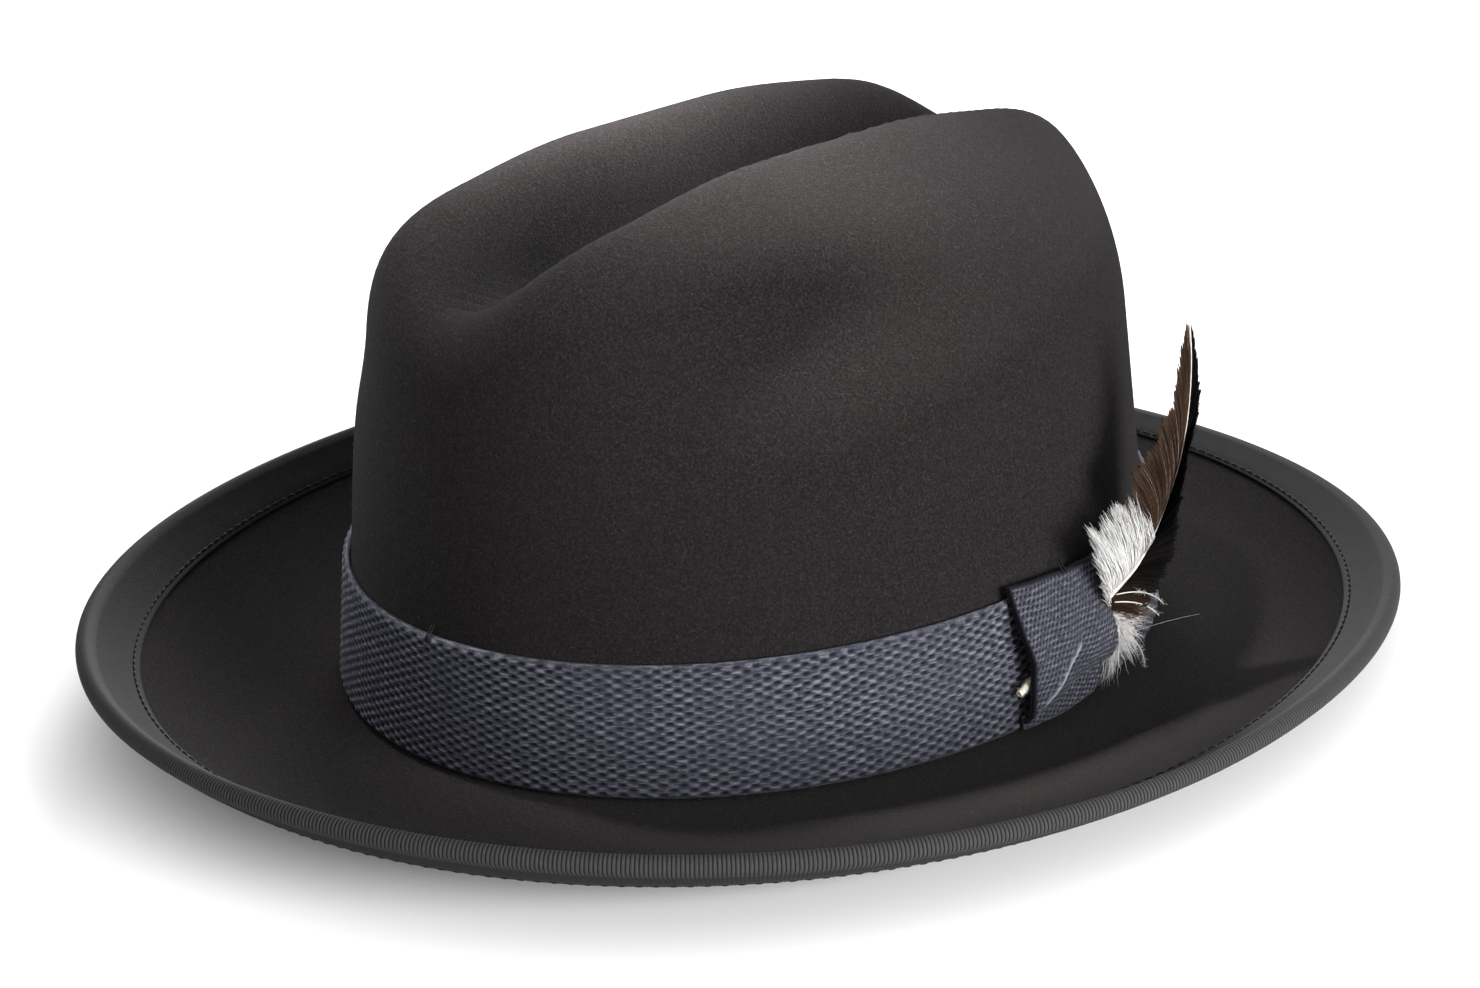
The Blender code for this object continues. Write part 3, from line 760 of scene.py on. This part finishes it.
def patch(name, y, z, out, height, finish, node):
    """A piece of webbing over the band, from a grid of points on its front, with its back and its sides."""
    rows, columns = y.shape
    front = side_point(y * MM, z * MM, out)
    back = front - np.array([WEBBING * 0.9, 0.0, 0.0])
    points = np.concatenate([front.reshape(-1, 3), back.reshape(-1, 3)])
    faces = quad_faces(rows, columns)
    offset = rows * columns
    faces += [[offset + k for k in reversed(face)] for face in quad_faces(rows, columns)]
    rim = list(range(columns)) + [i * columns + columns - 1 for i in range(1, rows)]
    rim += [(rows - 1) * columns + j for j in reversed(range(columns - 1))]
    rim += [i * columns for i in reversed(range(1, rows - 1))]
    for a, b in zip(rim, rim[1:] + rim[:1]):
        faces.append([b, a, offset + a, offset + b])
    cloth = cloth_marks(y * MM, z * MM, height)["cloth"]
    # Painted shade: the back and the sides are marked flat, so they take the dark gap colour.
    cloth = np.concatenate([cloth, cloth * np.array([1.0, 1.0, 0.0])])
    add_piece(name, points, faces, finish, "hat", [node], {"cloth": cloth})


# Share of the height and Y along the knot's sides; Y and Z of the ends of its fold, in millimetres.
KNOT_LEFT = [(0.0, -12.1), (0.28, -11.2), (0.45, -10.7), (0.65, -11.7), (0.82, -11.5), (1.0, -11.5)]
KNOT_RIGHT = [(0.0, 17.0), (0.16, 18.6), (0.35, 18.4), (1.0, 16.4)]
FOLD_TOP = (4.6, 20.6)
FOLD_FOOT = (-9.5, 9.2)
FOLD_STEP = 2.0 * MM


def make_knot(finish):
    """Webbing turned over the band: it stands off where the quill runs under it, and steps back below a
    slanting fold whose rolled edge is painted pale as a highlight; its border is painted dark as a shadow."""
    up, along = np.meshgrid(shares(150), shares(150), indexing="ij")
    left = np.interp(up, *zip(*KNOT_LEFT))
    right = np.interp(up, *zip(*KNOT_RIGHT))
    y = mix(left, right, along)
    z = mix(mix(5.4, 11.0, ramp(along, 0.0, 1.0)), mix(35.4, 33.2, along), up)
    stand = mix(2.3, 0.6, up) * MM + (QUILL_ROOM - 1.4 * MM) * np.sin(math.pi * up ** 0.75)
    fold = np.subtract(FOLD_TOP, FOLD_FOOT)
    length = math.hypot(*fold)
    fold = fold / length
    share = ((y - FOLD_FOOT[0]) * fold[0] + (z - FOLD_FOOT[1]) * fold[1]) / length
    below = (y - FOLD_FOOT[0]) * fold[1] - (z - FOLD_FOOT[1]) * fold[0]
    present = ramp(share, -0.45, 0.1) * (1 - ramp(share, 0.72, 1.15))
    stand = stand - FOLD_STEP * present * ramp(below, 0.1, 0.9)
    roll = np.exp(-((below - 0.15) / 0.55) ** 2) * ramp(share, -0.1, 0.15) * (1 - ramp(share, 0.85, 1.05))
    lattice = weave(0.94 * y * MM + 0.34 * z * MM, 0.86 * z * MM - 0.5 * y * MM, 2.3 * MM, 1.30 * MM)
    edge = ramp(np.minimum(np.minimum(along, 1 - along), np.minimum(up, 1 - up)) * 75, 0.0, 1.0)
    # Painted shadow: the border's mark drops to 0.1 and takes the dark gap colour; painted highlight: the
    # rolled fold is marked 1.5 and takes the pale fold colour.
    height = mix(mix(0.1, lattice, edge), 1.5, roll)
    dips = 0.35 * MM * np.sin(y * 0.55 + 1.0) * np.sin(z * 0.35)
    out = WEBBING + stand + dips + (np.minimum(height, 1.0) - 0.5) * 0.42 * MM + roll * 0.6 * MM
    out = out - (1 - edge) * 0.35 * MM
    patch("webbing_knot", y, z, out, height, finish, "bow_knot")


def make_tail(finish):
    """The folded-under end below the knot."""
    up, along = np.meshgrid(shares(60), shares(120), indexing="ij")
    y = mix(-11.8, 18.4, along)
    low = np.interp(along, [0.0, 0.45, 0.8, 1.0], [3.6, 3.3, 4.2, 6.8])
    high = np.interp(along, [0.0, 0.3, 1.0], [6.5, 8.6, 13.0])
    z = mix(low, high, up)
    lattice = weave(y * MM + 0.3 * z * MM, z * MM - 0.25 * y * MM, 2.2 * MM, 1.4 * MM)
    edge = ramp(np.minimum(np.minimum(along, 1 - along) * 30, up * 8), 0.0, 1.0)
    height = mix(0.8, lattice, edge)
    out = 0.4 * MM + WEBBING + (height - 0.5) * 0.42 * MM - (1 - edge) * 0.4 * MM
    patch("webbing_tail", y, z, out, height, finish, "bow_tail")


def make_tacks(finish):
    """Short thread loops over the band's upper edge."""
    top = BAND_FOOT + BAND_HEIGHT
    rises = mm(-1.6, -0.8, 0.0, 0.7, 1.4, 2.1)
    outs = mm(2.0, 2.1, 1.9, 1.2, 0.55, 0.15)
    radii = 0.2 * MM * np.array([0.6, 1, 1, 1, 1, 0.6])
    for name, t in (("front", FRONT), ("right", math.pi), ("back", BACK)):
        loop = [[wall_point(t + shift, top + rise, out) for rise, out in zip(rises, outs)]
                for shift in (-0.004, 0.004)]
        threads(f"tack_{name}", loop, radii, finish, f"band_tack_{name}")
    heads = [[side_point(y * MM, 34.2 * MM + rise, out) for rise, out in zip(rises, outs)]
             for y in (5.4, 6.4)]
    threads("tack_knot", heads, radii, finish, "bow_tack")


# ---- Feather ----

# Share of the length, Y and Z in millimetres along the free edges of the feather's parts.
BROWN_EDGE = [(0.0, 27.1, 40.5), (0.10, 22.4, 48.4), (0.20, 23.0, 53.3), (0.40, 30.5, 57.0),
              (0.55, 32.4, 62.0), (0.68, 36.3, 64.1), (0.84, 38.0, 73.8), (0.93, 39.6, 80.0),
              (1.0, 41.0, 83.0)]
BLACK_EDGE = [(0.0, 21.0, 20.6), (0.04, 25.5, 19.2), (0.12, 30.0, 20.8), (0.22, 33.7, 24.3),
              (0.34, 38.1, 29.1), (0.47, 40.0, 39.7), (0.62, 42.8, 52.6), (0.72, 45.8, 59.5),
              (0.80, 46.3, 64.7), (0.88, 44.9, 71.9), (0.95, 43.1, 78.6), (1.0, 41.8, 82.4)]
WHITE_EDGE = [(0.0, 12.7, 26.5), (0.12, 9.9, 35.5), (0.27, 5.4, 46.3), (0.38, 8.3, 43.0),
              (0.52, 11.5, 47.5), (0.64, 15.8, 48.7), (0.74, 18.4, 46.5), (0.84, 21.3, 47.7),
              (0.92, 24.4, 43.9), (1.0, 27.9, 40.2)]
# Root, pull and tip of each long stray barb, in millimetres.
STRAYS = mm(((89.5, 21.0, 24.2), (92.6, 28.8, 24.4), (93.0, 34.0, 18.6)),
            ((89.5, 20.4, 22.6), (92.6, 27.8, 21.6), (93.0, 32.4, 16.2)),
            ((88.6, 24.5, 13.0), (90.2, 30.0, 11.0), (90.4, 31.2, 3.4)),
            ((88.4, 26.0, 12.5), (92.0, 36.0, 13.5), (96.0, 44.0, 13.4)))
STRAY_RADII = (0.14, 0.16, 0.12, 0.03)
STRAY_FIBRES = 240
VANE_DEPTH = 92.3
UPPER_DOWN_DEPTH = 92.8
DOWN_FOOT = mm(88.4, 20.6, 17.6)
BARBS = 260
BARB_POINTS = 12
UPPER_DOWN_BARBS = 900
LOWER_DOWN_BARBS = 760
QUILL_FIBRES = 260
SHAFT_SIDES = 16
SHAFT_RADIUS = 0.78 * MM
SHAFT_NECK = 0.55 * MM
SHAFT_POINT = 0.15 * MM
# Depth from the cut end and radius of the quill's hollow and rim, in millimetres, from the inside out.
QUILL_CUT = [(2.4, 0.35), (0.25, 0.42), (0.0, 0.50), (0.0, 0.70), (0.3, 0.78), (0.8, 0.78)]
QUILL_AXIS = unit(SHAFT_START - QUILL_END)


def edge_at(edge, part):
    parts, ys, zs = zip(*edge)
    return np.interp(part, parts, ys) * MM, np.interp(part, parts, zs) * MM


def curved_rods(roots, pulls, tips, count):
    s = shares(count)[None, :, None]
    return (1 - s) ** 2 * roots[:, None] + 2 * s * (1 - s) * pulls[:, None] + s ** 2 * tips[:, None]


def make_shaft():
    quill = plain_finish("feather_quill_horn", (0.36, 0.32, 0.26), (0.50, 0.47, 0.41), 500.0, 0.42,
                         Subsurface_Weight=0.25, Subsurface_Scale=0.002)
    points = [QUILL_END + QUILL_AXIS * depth * MM for depth, _ in QUILL_CUT]
    radii = [radius * MM for _, radius in QUILL_CUT]
    for part in np.linspace(0.1, 0.95, 14):
        points.append(mix(QUILL_END, SHAFT_START, part))
        radii.append(mix(SHAFT_RADIUS, SHAFT_NECK, ramp(part, 0.6, 1.0)))
    bend_from = len(points)
    for part in shares(40):
        points.append(shaft_point(part))
        radii.append(mix(SHAFT_NECK, SHAFT_POINT, part ** 0.8))
    across = unit(np.cross(QUILL_AXIS, (0.0, 0.0, 1.0)))
    lift = np.cross(across, QUILL_AXIS)
    angle = turns(SHAFT_SIDES, 0.0)[:, None]
    rings = []
    for k, (point, radius) in enumerate(zip(points, radii)):
        if k > bend_from:
            step = unit(points[min(k + 1, len(points) - 1)] - points[k - 1])
            across = unit(across - step * (across @ step))
            lift = np.cross(across, step)
        rings.append(point + radius * (across * np.cos(angle) + lift * np.sin(angle)))
    faces = quad_faces(len(rings), SHAFT_SIDES, wrap_columns=True)
    faces.append(list(range(SHAFT_SIDES))[::-1])
    faces.append([(len(rings) - 1) * SHAFT_SIDES + k for k in range(SHAFT_SIDES)])
    add_piece("feather_quill_and_shaft", rings, faces, quill, "feather",
              ["feather_shaft"])


def shaft_at(part):
    """Points on the shaft; negative parts run back along the straight quill, -1 being its cut end."""
    straight = SHAFT_START + (SHAFT_START - QUILL_END) * part[..., None]
    return np.where((part < 0)[..., None], straight, shaft_point(np.clip(part, 0.0, 1.0)))


def fibres(name, paths, taper, finish, node=None, sides=4, flat=1.0, tone=0.0):
    """White barbs or fibres of the feather; tone 0 is white and 1 brown."""
    tone = np.broadcast_to(tone, paths.shape[:2])
    tubes(name, paths, np.array(taper) * MM, finish, "feather", sides, flat,
          [node] if node else (), tone)


def barb_paths(part, roots_from, roots_to, edge, bow, front, loose):
    """Barbs that leave the shaft at a small angle and end on an edge of the feather."""
    root_part = mix(roots_from, roots_to, part)
    roots = shaft_at(root_part)
    tip_y, tip_z = edge_at(edge, part)
    depth = (VANE_DEPTH + front + 0.9 * part) * MM
    stray = scatter(len(part), 3) * loose * np.array([0.5, 0.6, 1.0])
    tips = np.stack([depth, tip_y, tip_z], axis=1) + stray
    step = unit(shaft_at(root_part + 0.02) - roots)
    pulls = roots + step * np.linalg.norm(tips - roots, axis=1, keepdims=True) * bow
    return curved_rods(roots, pulls, tips, BARB_POINTS)


def vane(name, roots_from, roots_to, edge, bow, front, finish, node, tone):
    """Barbs that cling together in a ribbed web, with single barbs working loose along it."""
    part = shares(BARBS)
    barb = np.arange(BARBS)
    paths = barb_paths(part, roots_from, roots_to, edge, bow, front, 0.05 * MM)
    ends = scatter(BARBS) * 0.35 * MM + 0.5 * MM * np.sin(barb * 0.31) ** 3
    ends *= 1.0 + 3.0 * ramp(part, 0.12, 0.0)
    onward = (paths[:, -1:] - paths[:, -2:-1]) * (ends / (1.5 * MM))[:, None, None]
    paths += onward * shares(BARB_POINTS)[:, None] ** 4
    paths[:, :, 0] += np.where(barb % 2, 0.05, -0.05)[:, None] * MM
    tones = tone(paths) + scatter(BARBS, 1) * 0.10
    piece = add_piece(f"{name}_web", paths, quad_faces(BARBS, BARB_POINTS), finish,
                      "feather", [node], {"tone": tones.ravel()})
    thicken(piece, 0.07 * MM, even=False)
    part = rng.uniform(0.0, 1.0, BARBS)
    rods = barb_paths(part, roots_from, roots_to, edge, bow, front + 0.10, 0.45 * MM)
    rods[:, :, 0] += 0.12 * MM
    taper = np.array([0.8, 1, 1, 1, 1, 1, 0.95, 0.9, 0.8, 0.65, 0.45, 0.12]) * 0.11 * MM
    loose_tones = tone(rods) + scatter(BARBS, 1) * 0.22
    tubes(f"{name}_barbs", rods, taper, finish, "feather", flat=0.5, tone=loose_tones)


def make_vanes():
    brown = barb_finish("barbs_brown", (0.34, 0.31, 0.29), (0.022, 0.0125, 0.0078))
    black = barb_finish("barbs_black", (0.014, 0.007, 0.0042), (0.0014, 0.0013, 0.0014), 0.7)

    def above_line(paths):
        y, z = paths[..., 1], paths[..., 2]
        return 1.25 * ramp(z + 0.9 * y, 62.0 * MM, 69.0 * MM) - 0.35 * ramp(z, 74.0 * MM, 84.0 * MM)

    def away_from_foot(paths):
        return ramp(paths[..., 2] + 0.6 * paths[..., 1], 34.0 * MM, 44.0 * MM)

    vane("feather_brown", 0.14, 0.70, BROWN_EDGE, 0.35, 0.0, brown, "feather_brown_vane",
         above_line)
    vane("feather_black", -0.34, 0.82, BLACK_EDGE, 0.45, 0.05, black, "feather_black_vane",
         away_from_foot)


def make_upper_down(white):
    """White barbs that fan up from the foot of the vane, in tufts."""
    count = UPPER_DOWN_BARBS
    part = np.sort(rng.uniform(0.0, 1.0, count))
    tuft = part + 0.02 * np.sin(part * 2 * math.pi * 9)
    roots = shaft_at(mix(-0.24, 0.24, part ** 1.1))
    tip_y, tip_z = edge_at(WHITE_EDGE, tuft)
    reach = rng.uniform(0.72, 1.03, (count, 1))
    tips = np.stack([np.full(count, UPPER_DOWN_DEPTH * MM), tip_y, tip_z], axis=1)
    tips += scatter(count, 3) * 0.55 * MM
    tips = roots + (tips - roots) * reach
    lean = mm(2.2, 0.6, -0.6)
    pulls = mix(roots, tips, 0.45) + lean + scatter(count, 3) * 0.35 * MM
    paths = curved_rods(roots, pulls, tips, 10)
    paths += scatter(count, 10, 3) * 0.10 * MM * np.linspace(0, 1.4, 10)[:, None]
    taper = 0.17 * np.array([0.8, 1, 1, 0.95, 0.85, 0.75, 0.6, 0.45, 0.3, 0.1])
    tones = np.clip((shares(10) - 0.75) * 1.6, 0, 1) * (part[:, None] > 0.72)
    fibres("feather_white_down", paths, taper, white, "feather_upper_down", flat=0.4, tone=tones)


def make_lower_down(white):
    """Loose down under the shaft, with a brown patch."""
    count = LOWER_DOWN_BARBS
    way = np.radians(rng.uniform(-118, 6, count))
    reach = rng.uniform(4.0, 12.5, count) * (0.85 + 0.30 * np.cos(way * 7 + 0.6)) * MM
    roots = DOWN_FOOT + scatter(count, 3) * mm(0.5, 0.9, 1.1)
    ends = np.stack([rng.uniform(0.8, 3.2, count) * MM, np.cos(way) * reach, np.sin(way) * reach], axis=1)
    tips = roots + ends
    tips[:, 2] = np.maximum(tips[:, 2], 3.2 * MM)
    pulls = mix(roots, tips, 0.5) + mm(1.0, 0.0, 0.8) + scatter(count, 3) * 0.6 * MM
    paths = curved_rods(roots, pulls, tips, 9)
    paths += scatter(count, 9, 3) * 0.14 * MM * np.linspace(0, 1.5, 9)[:, None]
    taper = 0.12 * np.array([0.9, 1, 0.9, 0.8, 0.7, 0.6, 0.45, 0.3, 0.12])
    near_top = ramp(way, math.radians(-22), 0.0)[:, None]
    tones = 0.16 + near_top * ramp(shares(9), 0.1, 0.4)
    fibres("feather_loose_down", paths, taper, white, "feather_lower_down", flat=0.5, tone=tones)


def make_strays(white):
    """A few long barbs that stand apart, with fine fibres along the first three."""
    roots, pulls, tips = STRAYS.transpose(1, 0, 2)
    taper = np.array(STRAY_RADII)[:, None] * np.linspace(1.0, 0.55, 16)
    fibres("feather_stray_barbs", curved_rods(roots, pulls, tips, 16), taper, white, sides=6)
    count = STRAY_FIBRES
    which = rng.integers(0, 3, count)
    spot = rng.uniform(0.35, 1.0, count)[:, None]
    keep = 1 - spot
    feet = keep ** 2 * roots[which] + 2 * keep * spot * pulls[which] + spot ** 2 * tips[which]
    ends = feet + scatter(count, 3) * 0.55 * MM
    paths = np.stack([feet, mix(feet, ends, 0.5), ends], axis=1)
    fibres("feather_stray_fuzz", paths, (0.035, 0.03, 0.012), white, sides=3)


def make_quill_fuzz(white):
    """Short pale fibres round the quill's cut end."""
    count = QUILL_FIBRES
    spin = scatter(count, 3)
    spin = unit(spin - QUILL_AXIS * (spin @ QUILL_AXIS)[:, None])
    feet = QUILL_END + QUILL_AXIS * rng.uniform(0.3, 9.0, (count, 1)) * MM + spin * 0.75 * MM
    ends = feet + (spin * 0.45 + QUILL_AXIS * rng.uniform(-1.0, 1.0, (count, 1))) * MM
    paths = np.stack([feet, mix(feet, ends, 0.5) + spin * 0.06 * MM, ends], axis=1)
    fibres("feather_quill_fuzz", paths, (0.03, 0.022, 0.01), white, sides=3, tone=0.12)


# ---- Inside ----

def wall_sheet(name, t, zs, depth, thickness, finish, node, wrap=False, sway=None):
    """A sheet that lies a depth inside the crown's wall."""
    rows = np.array([wall_point(t, z, -depth + (sway(t, z) if sway else 0.0)) for z in zs])
    marks = cloth_marks(run_along(rows[0]), zs[:, None], 0.8)
    piece = add_piece(name, rows, quad_faces(len(zs), len(t), wrap_columns=wrap), finish,
                      "hat", [node], marks)
    thicken(piece, thickness)
    return piece


def make_sweatband(thread, ribbon):
    gap = math.asin(0.5 * MM / CROWN_X)
    t = np.linspace(BACK + gap, BACK + 2 * math.pi - gap, 360)

    def sway(t, z):
        return 0.10 * MM * np.sin(t * 23 + z * 300) * ramp(z, 12 * MM, SWEAT_TOP)

    sweat = wall_sheet("leather_sweatband", t, np.linspace(SWEAT_FOOT, SWEAT_TOP, 24), SWEAT_DEPTH, LEATHER,
                       leather_finish(), "sweatband", sway=sway)
    rounded = sweat.modifiers.new("edges", "BEVEL")
    rounded.width = 0.25 * MM
    rounded.segments = 2
    rounded.limit_method = "ANGLE"
    wall_sheet("reed_cover_tape", turns(240), mm(1.0, 2.4, 4.5, 6.5, 8.0),
               REED_DEPTH - REED_RADIUS - 0.3 * MM, TAPE, ribbon, "reed_tape", wrap=True)
    stitch_row("sweatband_stitches", lambda t: wall_point(t, SEWN_AT, -SWEAT_DEPTH - 0.1 * MM),
               lambda t: wall_point(t, SEWN_AT, -1.0) - wall_point(t, SEWN_AT, 0.0), thread,
               "sweatband_stitch", 2.6 * MM)
    wall_sheet("sweatband_seam_tape", np.linspace(BACK - 0.055, BACK + 0.055, 12),
               np.linspace(4.0, 37.0, 16) * MM, 4.65 * MM, TAPE, ribbon,
               "sweatband_back_tape")
    paper = plain_finish("tag_paper_blank", (0.66, 0.62, 0.54), (0.74, 0.71, 0.63), 160.0, 0.8)
    wall_sheet("blank_size_tag", np.linspace(0.9, 1.02, 12), np.linspace(20.0, 36.0, 10) * MM, 4.3 * MM,
               0.3 * MM, paper, "size_tag")


def make_back_bow(ribbon):
    """A flat loop of ribbon at the sweatband's back seam and the turn of ribbon round its middle."""
    middle = wall_point(BACK, 12 * MM, -SWEAT_DEPTH) - mm(0.0, 2.6, 0.0)
    turn = turns(72)
    squeeze = 0.45 + 0.55 * np.cos(turn) ** 2
    loop = np.stack([13 * MM * np.cos(turn), 1.5 * MM * squeeze * np.sin(turn), 0 * turn], axis=1) + middle
    band_loop("back_bow_loop", loop, np.array([0.0, 0.0, 1.0]), 2.5 * MM, ribbon, "sweatband_bow_loop")
    corner = np.stack([0 * turn, np.cos(turn), np.sin(turn)], axis=1)
    wrap = np.sign(corner) * np.abs(corner) ** 0.6 * mm(0.0, 1.6, 3.2) + middle
    band_loop("back_bow_wrap", wrap, np.array([1.0, 0.0, 0.0]), 2.0 * MM, ribbon, "sweatband_bow_knot")


def band_loop(name, loop, way, half, finish, node):
    """A closed band of ribbon along a loop, with fine ribs across it painted in as shade and highlight."""
    across = np.linspace(-half, half, 9)[:, None]
    run = run_along(loop)
    # Painted shade and highlight: the ribs are only marks, dark between them and pale on top of them.
    marks = cloth_marks(run, across, 0.5 + 0.5 * np.cos(2 * math.pi * run / (0.9 * MM)))
    rows = loop + way * across[:, None]
    piece = add_piece(name, rows, quad_faces(9, len(loop), wrap_columns=True), finish, "hat",
                      [node], marks)
    thicken(piece, 0.35 * MM)


def make_lining():
    satin = satin_finish()
    t = turns(480)

    def tip_rows(first, last, count, inset):
        return [dome_row(lining_field, t[::2], climb, inset) for climb in np.linspace(first, last, count)]

    def pleat(row, depth):
        """Gathers the satin into shallow folds."""
        way = unit(row - np.array([0.0, CROWN_MID_Y, LEVEL]))
        folds = np.abs(np.sin(t * 30 + 0.6 * np.sin(t * 7))) ** 0.7
        return row - way * (folds * depth)[:, None]

    rows = [wall_point(t, z, -LINING_DEPTH) for z in np.linspace(14.0, 30.0, 6) * MM]
    for k, climb in enumerate(np.linspace(-12, LINING_SEAM - 1.5, 16)):
        rows.append(pleat(dome_row(lining_field, t, climb, 0.0), 1.6 * MM * (k / 15) ** 1.5))
    dome_sheet("satin_lining_side", rows, SATIN, satin, "lining_side", pole=False)
    dome_sheet("satin_lining_tip", tip_rows(LINING_SEAM + 1.5, 87, 20, 0.0), SATIN, satin,
               "lining_tip")
    seam = tip_rows(LINING_SEAM, LINING_SEAM, 1, 1.1 * MM)[0]
    ahead = unit(np.roll(seam, -1, axis=0) - np.roll(seam, 1, axis=0))
    side = unit(np.cross(ahead, (0.0, 0.0, 1.0)))
    lift = np.cross(side, ahead)
    radius = 0.56 * MM + 0.07 * MM * np.cos(np.arange(len(seam)) * math.pi)[:, None]
    cord = [seam + (side * math.cos(angle) + lift * math.sin(angle)) * radius for angle in turns(10, 0.0)]
    ring_section("satin_lining_piping", cord, satin, ["lining_piping"], None)
    dome_sheet("clear_lining_shield", tip_rows(42, 86, 14, 1.0 * MM), 0.3 * MM, film_finish(),
               "lining_shield")


# ---- Stage, light and camera ----

FLOOR_HALF = 6.0
FLOOR_DROP = 0.3 * MM
WORLD_STRENGTH = 0.95
# Name, place, aim, width, watts and spread in degrees.
LIGHTS = [("key_softbox", (1.35, 0.0, 0.22), (0.0, 0.0, 0.07), 0.9, 57.0, 180.0),
          ("crown_softbox", (-0.24, -0.04, 0.70), (0.0, -0.01, 0.09), 0.10, 0.52, 14.0),
          ("back_softbox", (-0.85, 0.90, 0.34), (0.0, 0.0, 0.1), 0.5, 26.0, 180.0)]


def make_stage():
    signs = ((-1, -1), (1, -1), (1, 1), (-1, 1))
    corners = [(x * FLOOR_HALF, y * FLOOR_HALF, -FLOOR_DROP) for x, y in signs]
    mesh = bpy.data.meshes.new("floor")
    mesh.from_pydata(corners, [], [(0, 1, 2, 3)])
    mesh.materials.append(floor_finish())
    floor = set_down("floor", mesh)


def add_light(name, place, aim, size, power, spread):
    lamp = bpy.data.lights.new(name, "AREA")
    lamp.shape = "DISK"
    lamp.size = size
    lamp.energy = power
    lamp.spread = math.radians(spread)
    holder = set_down(name, lamp)
    holder.location = place
    holder.rotation_euler = (Vector(aim) - Vector(place)).to_track_quat("-Z", "Y").to_euler()


def make_light():
    world = bpy.data.worlds.new("studio")
    world.use_nodes = True
    sky = world.node_tree.nodes["Background"]
    sky.inputs["Color"].default_value = (1.0, 1.0, 1.0, 1.0)
    sky.inputs["Strength"].default_value = WORLD_STRENGTH
    bpy.context.scene.world = world
    for settings in LIGHTS:
        add_light(*settings)


def make_camera():
    lens = bpy.data.cameras.new("camera")
    lens.sensor_width = 36.0
    lens.lens = CAMERA_LENS
    camera = set_down("camera", lens)
    camera.location = CAMERA_AT
    facing = (Vector(CAMERA_AIM) - Vector(CAMERA_AT)).to_track_quat("-Z", "Y")
    roll = Quaternion((0.0, 0.0, 1.0), math.radians(CAMERA_ROLL))
    camera.rotation_mode = "QUATERNION"
    camera.rotation_quaternion = facing @ roll
    bpy.context.scene.camera = camera
    bpy.context.scene.view_settings.view_transform = "Standard"


# ---- Build ----

thread = thread_finish("dark_sewing_thread", (0.003, 0.003, 0.0033), (0.011, 0.011, 0.012))
# The ribbon's first colour is painted shade in the rib hollows, the second the lit thread colour.
ribbon = ribbon_finish("inside_ribbon", (0.02, 0.02, 0.021), (0.07, 0.07, 0.073))
# Webbing colours: dark gap as painted shade between threads, thread, pale tip as painted highlight on the
# floats, pale fold colour as painted highlight on a rolled fold.
band_cloth = woven_finish("band_webbing", (0.004, 0.004, 0.007), (0.027, 0.028, 0.038),
                          (0.125, 0.127, 0.144), (0.16, 0.16, 0.18), 0.6)
knot_cloth = woven_finish("knot_webbing", (0.005, 0.005, 0.008), (0.026, 0.026, 0.035),
                          (0.098, 0.098, 0.112), (0.15, 0.15, 0.17), -0.9)
reed = plain_finish("reed_plastic_matt", (0.50, 0.48, 0.43), (0.58, 0.56, 0.50), 300.0, 0.45)

make_felt()
make_binding()
make_binding_stitches(thread)
make_hatband(band_cloth)
make_knot(knot_cloth)
make_tail(knot_cloth)
make_tacks(thread)
make_shaft()
make_vanes()
white_down = barb_finish("down_white", (0.43, 0.425, 0.42), (0.05, 0.028, 0.018), 0.7)
make_upper_down(white_down)
make_lower_down(white_down)
make_strays(white_down)
make_quill_fuzz(white_down)
make_sweatband(thread, ribbon)
make_back_bow(ribbon)
make_lining()
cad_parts["sweatband_reed"].data.materials.clear()
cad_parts["sweatband_reed"].data.materials.append(reed)
make_stage()
make_light()
make_camera()
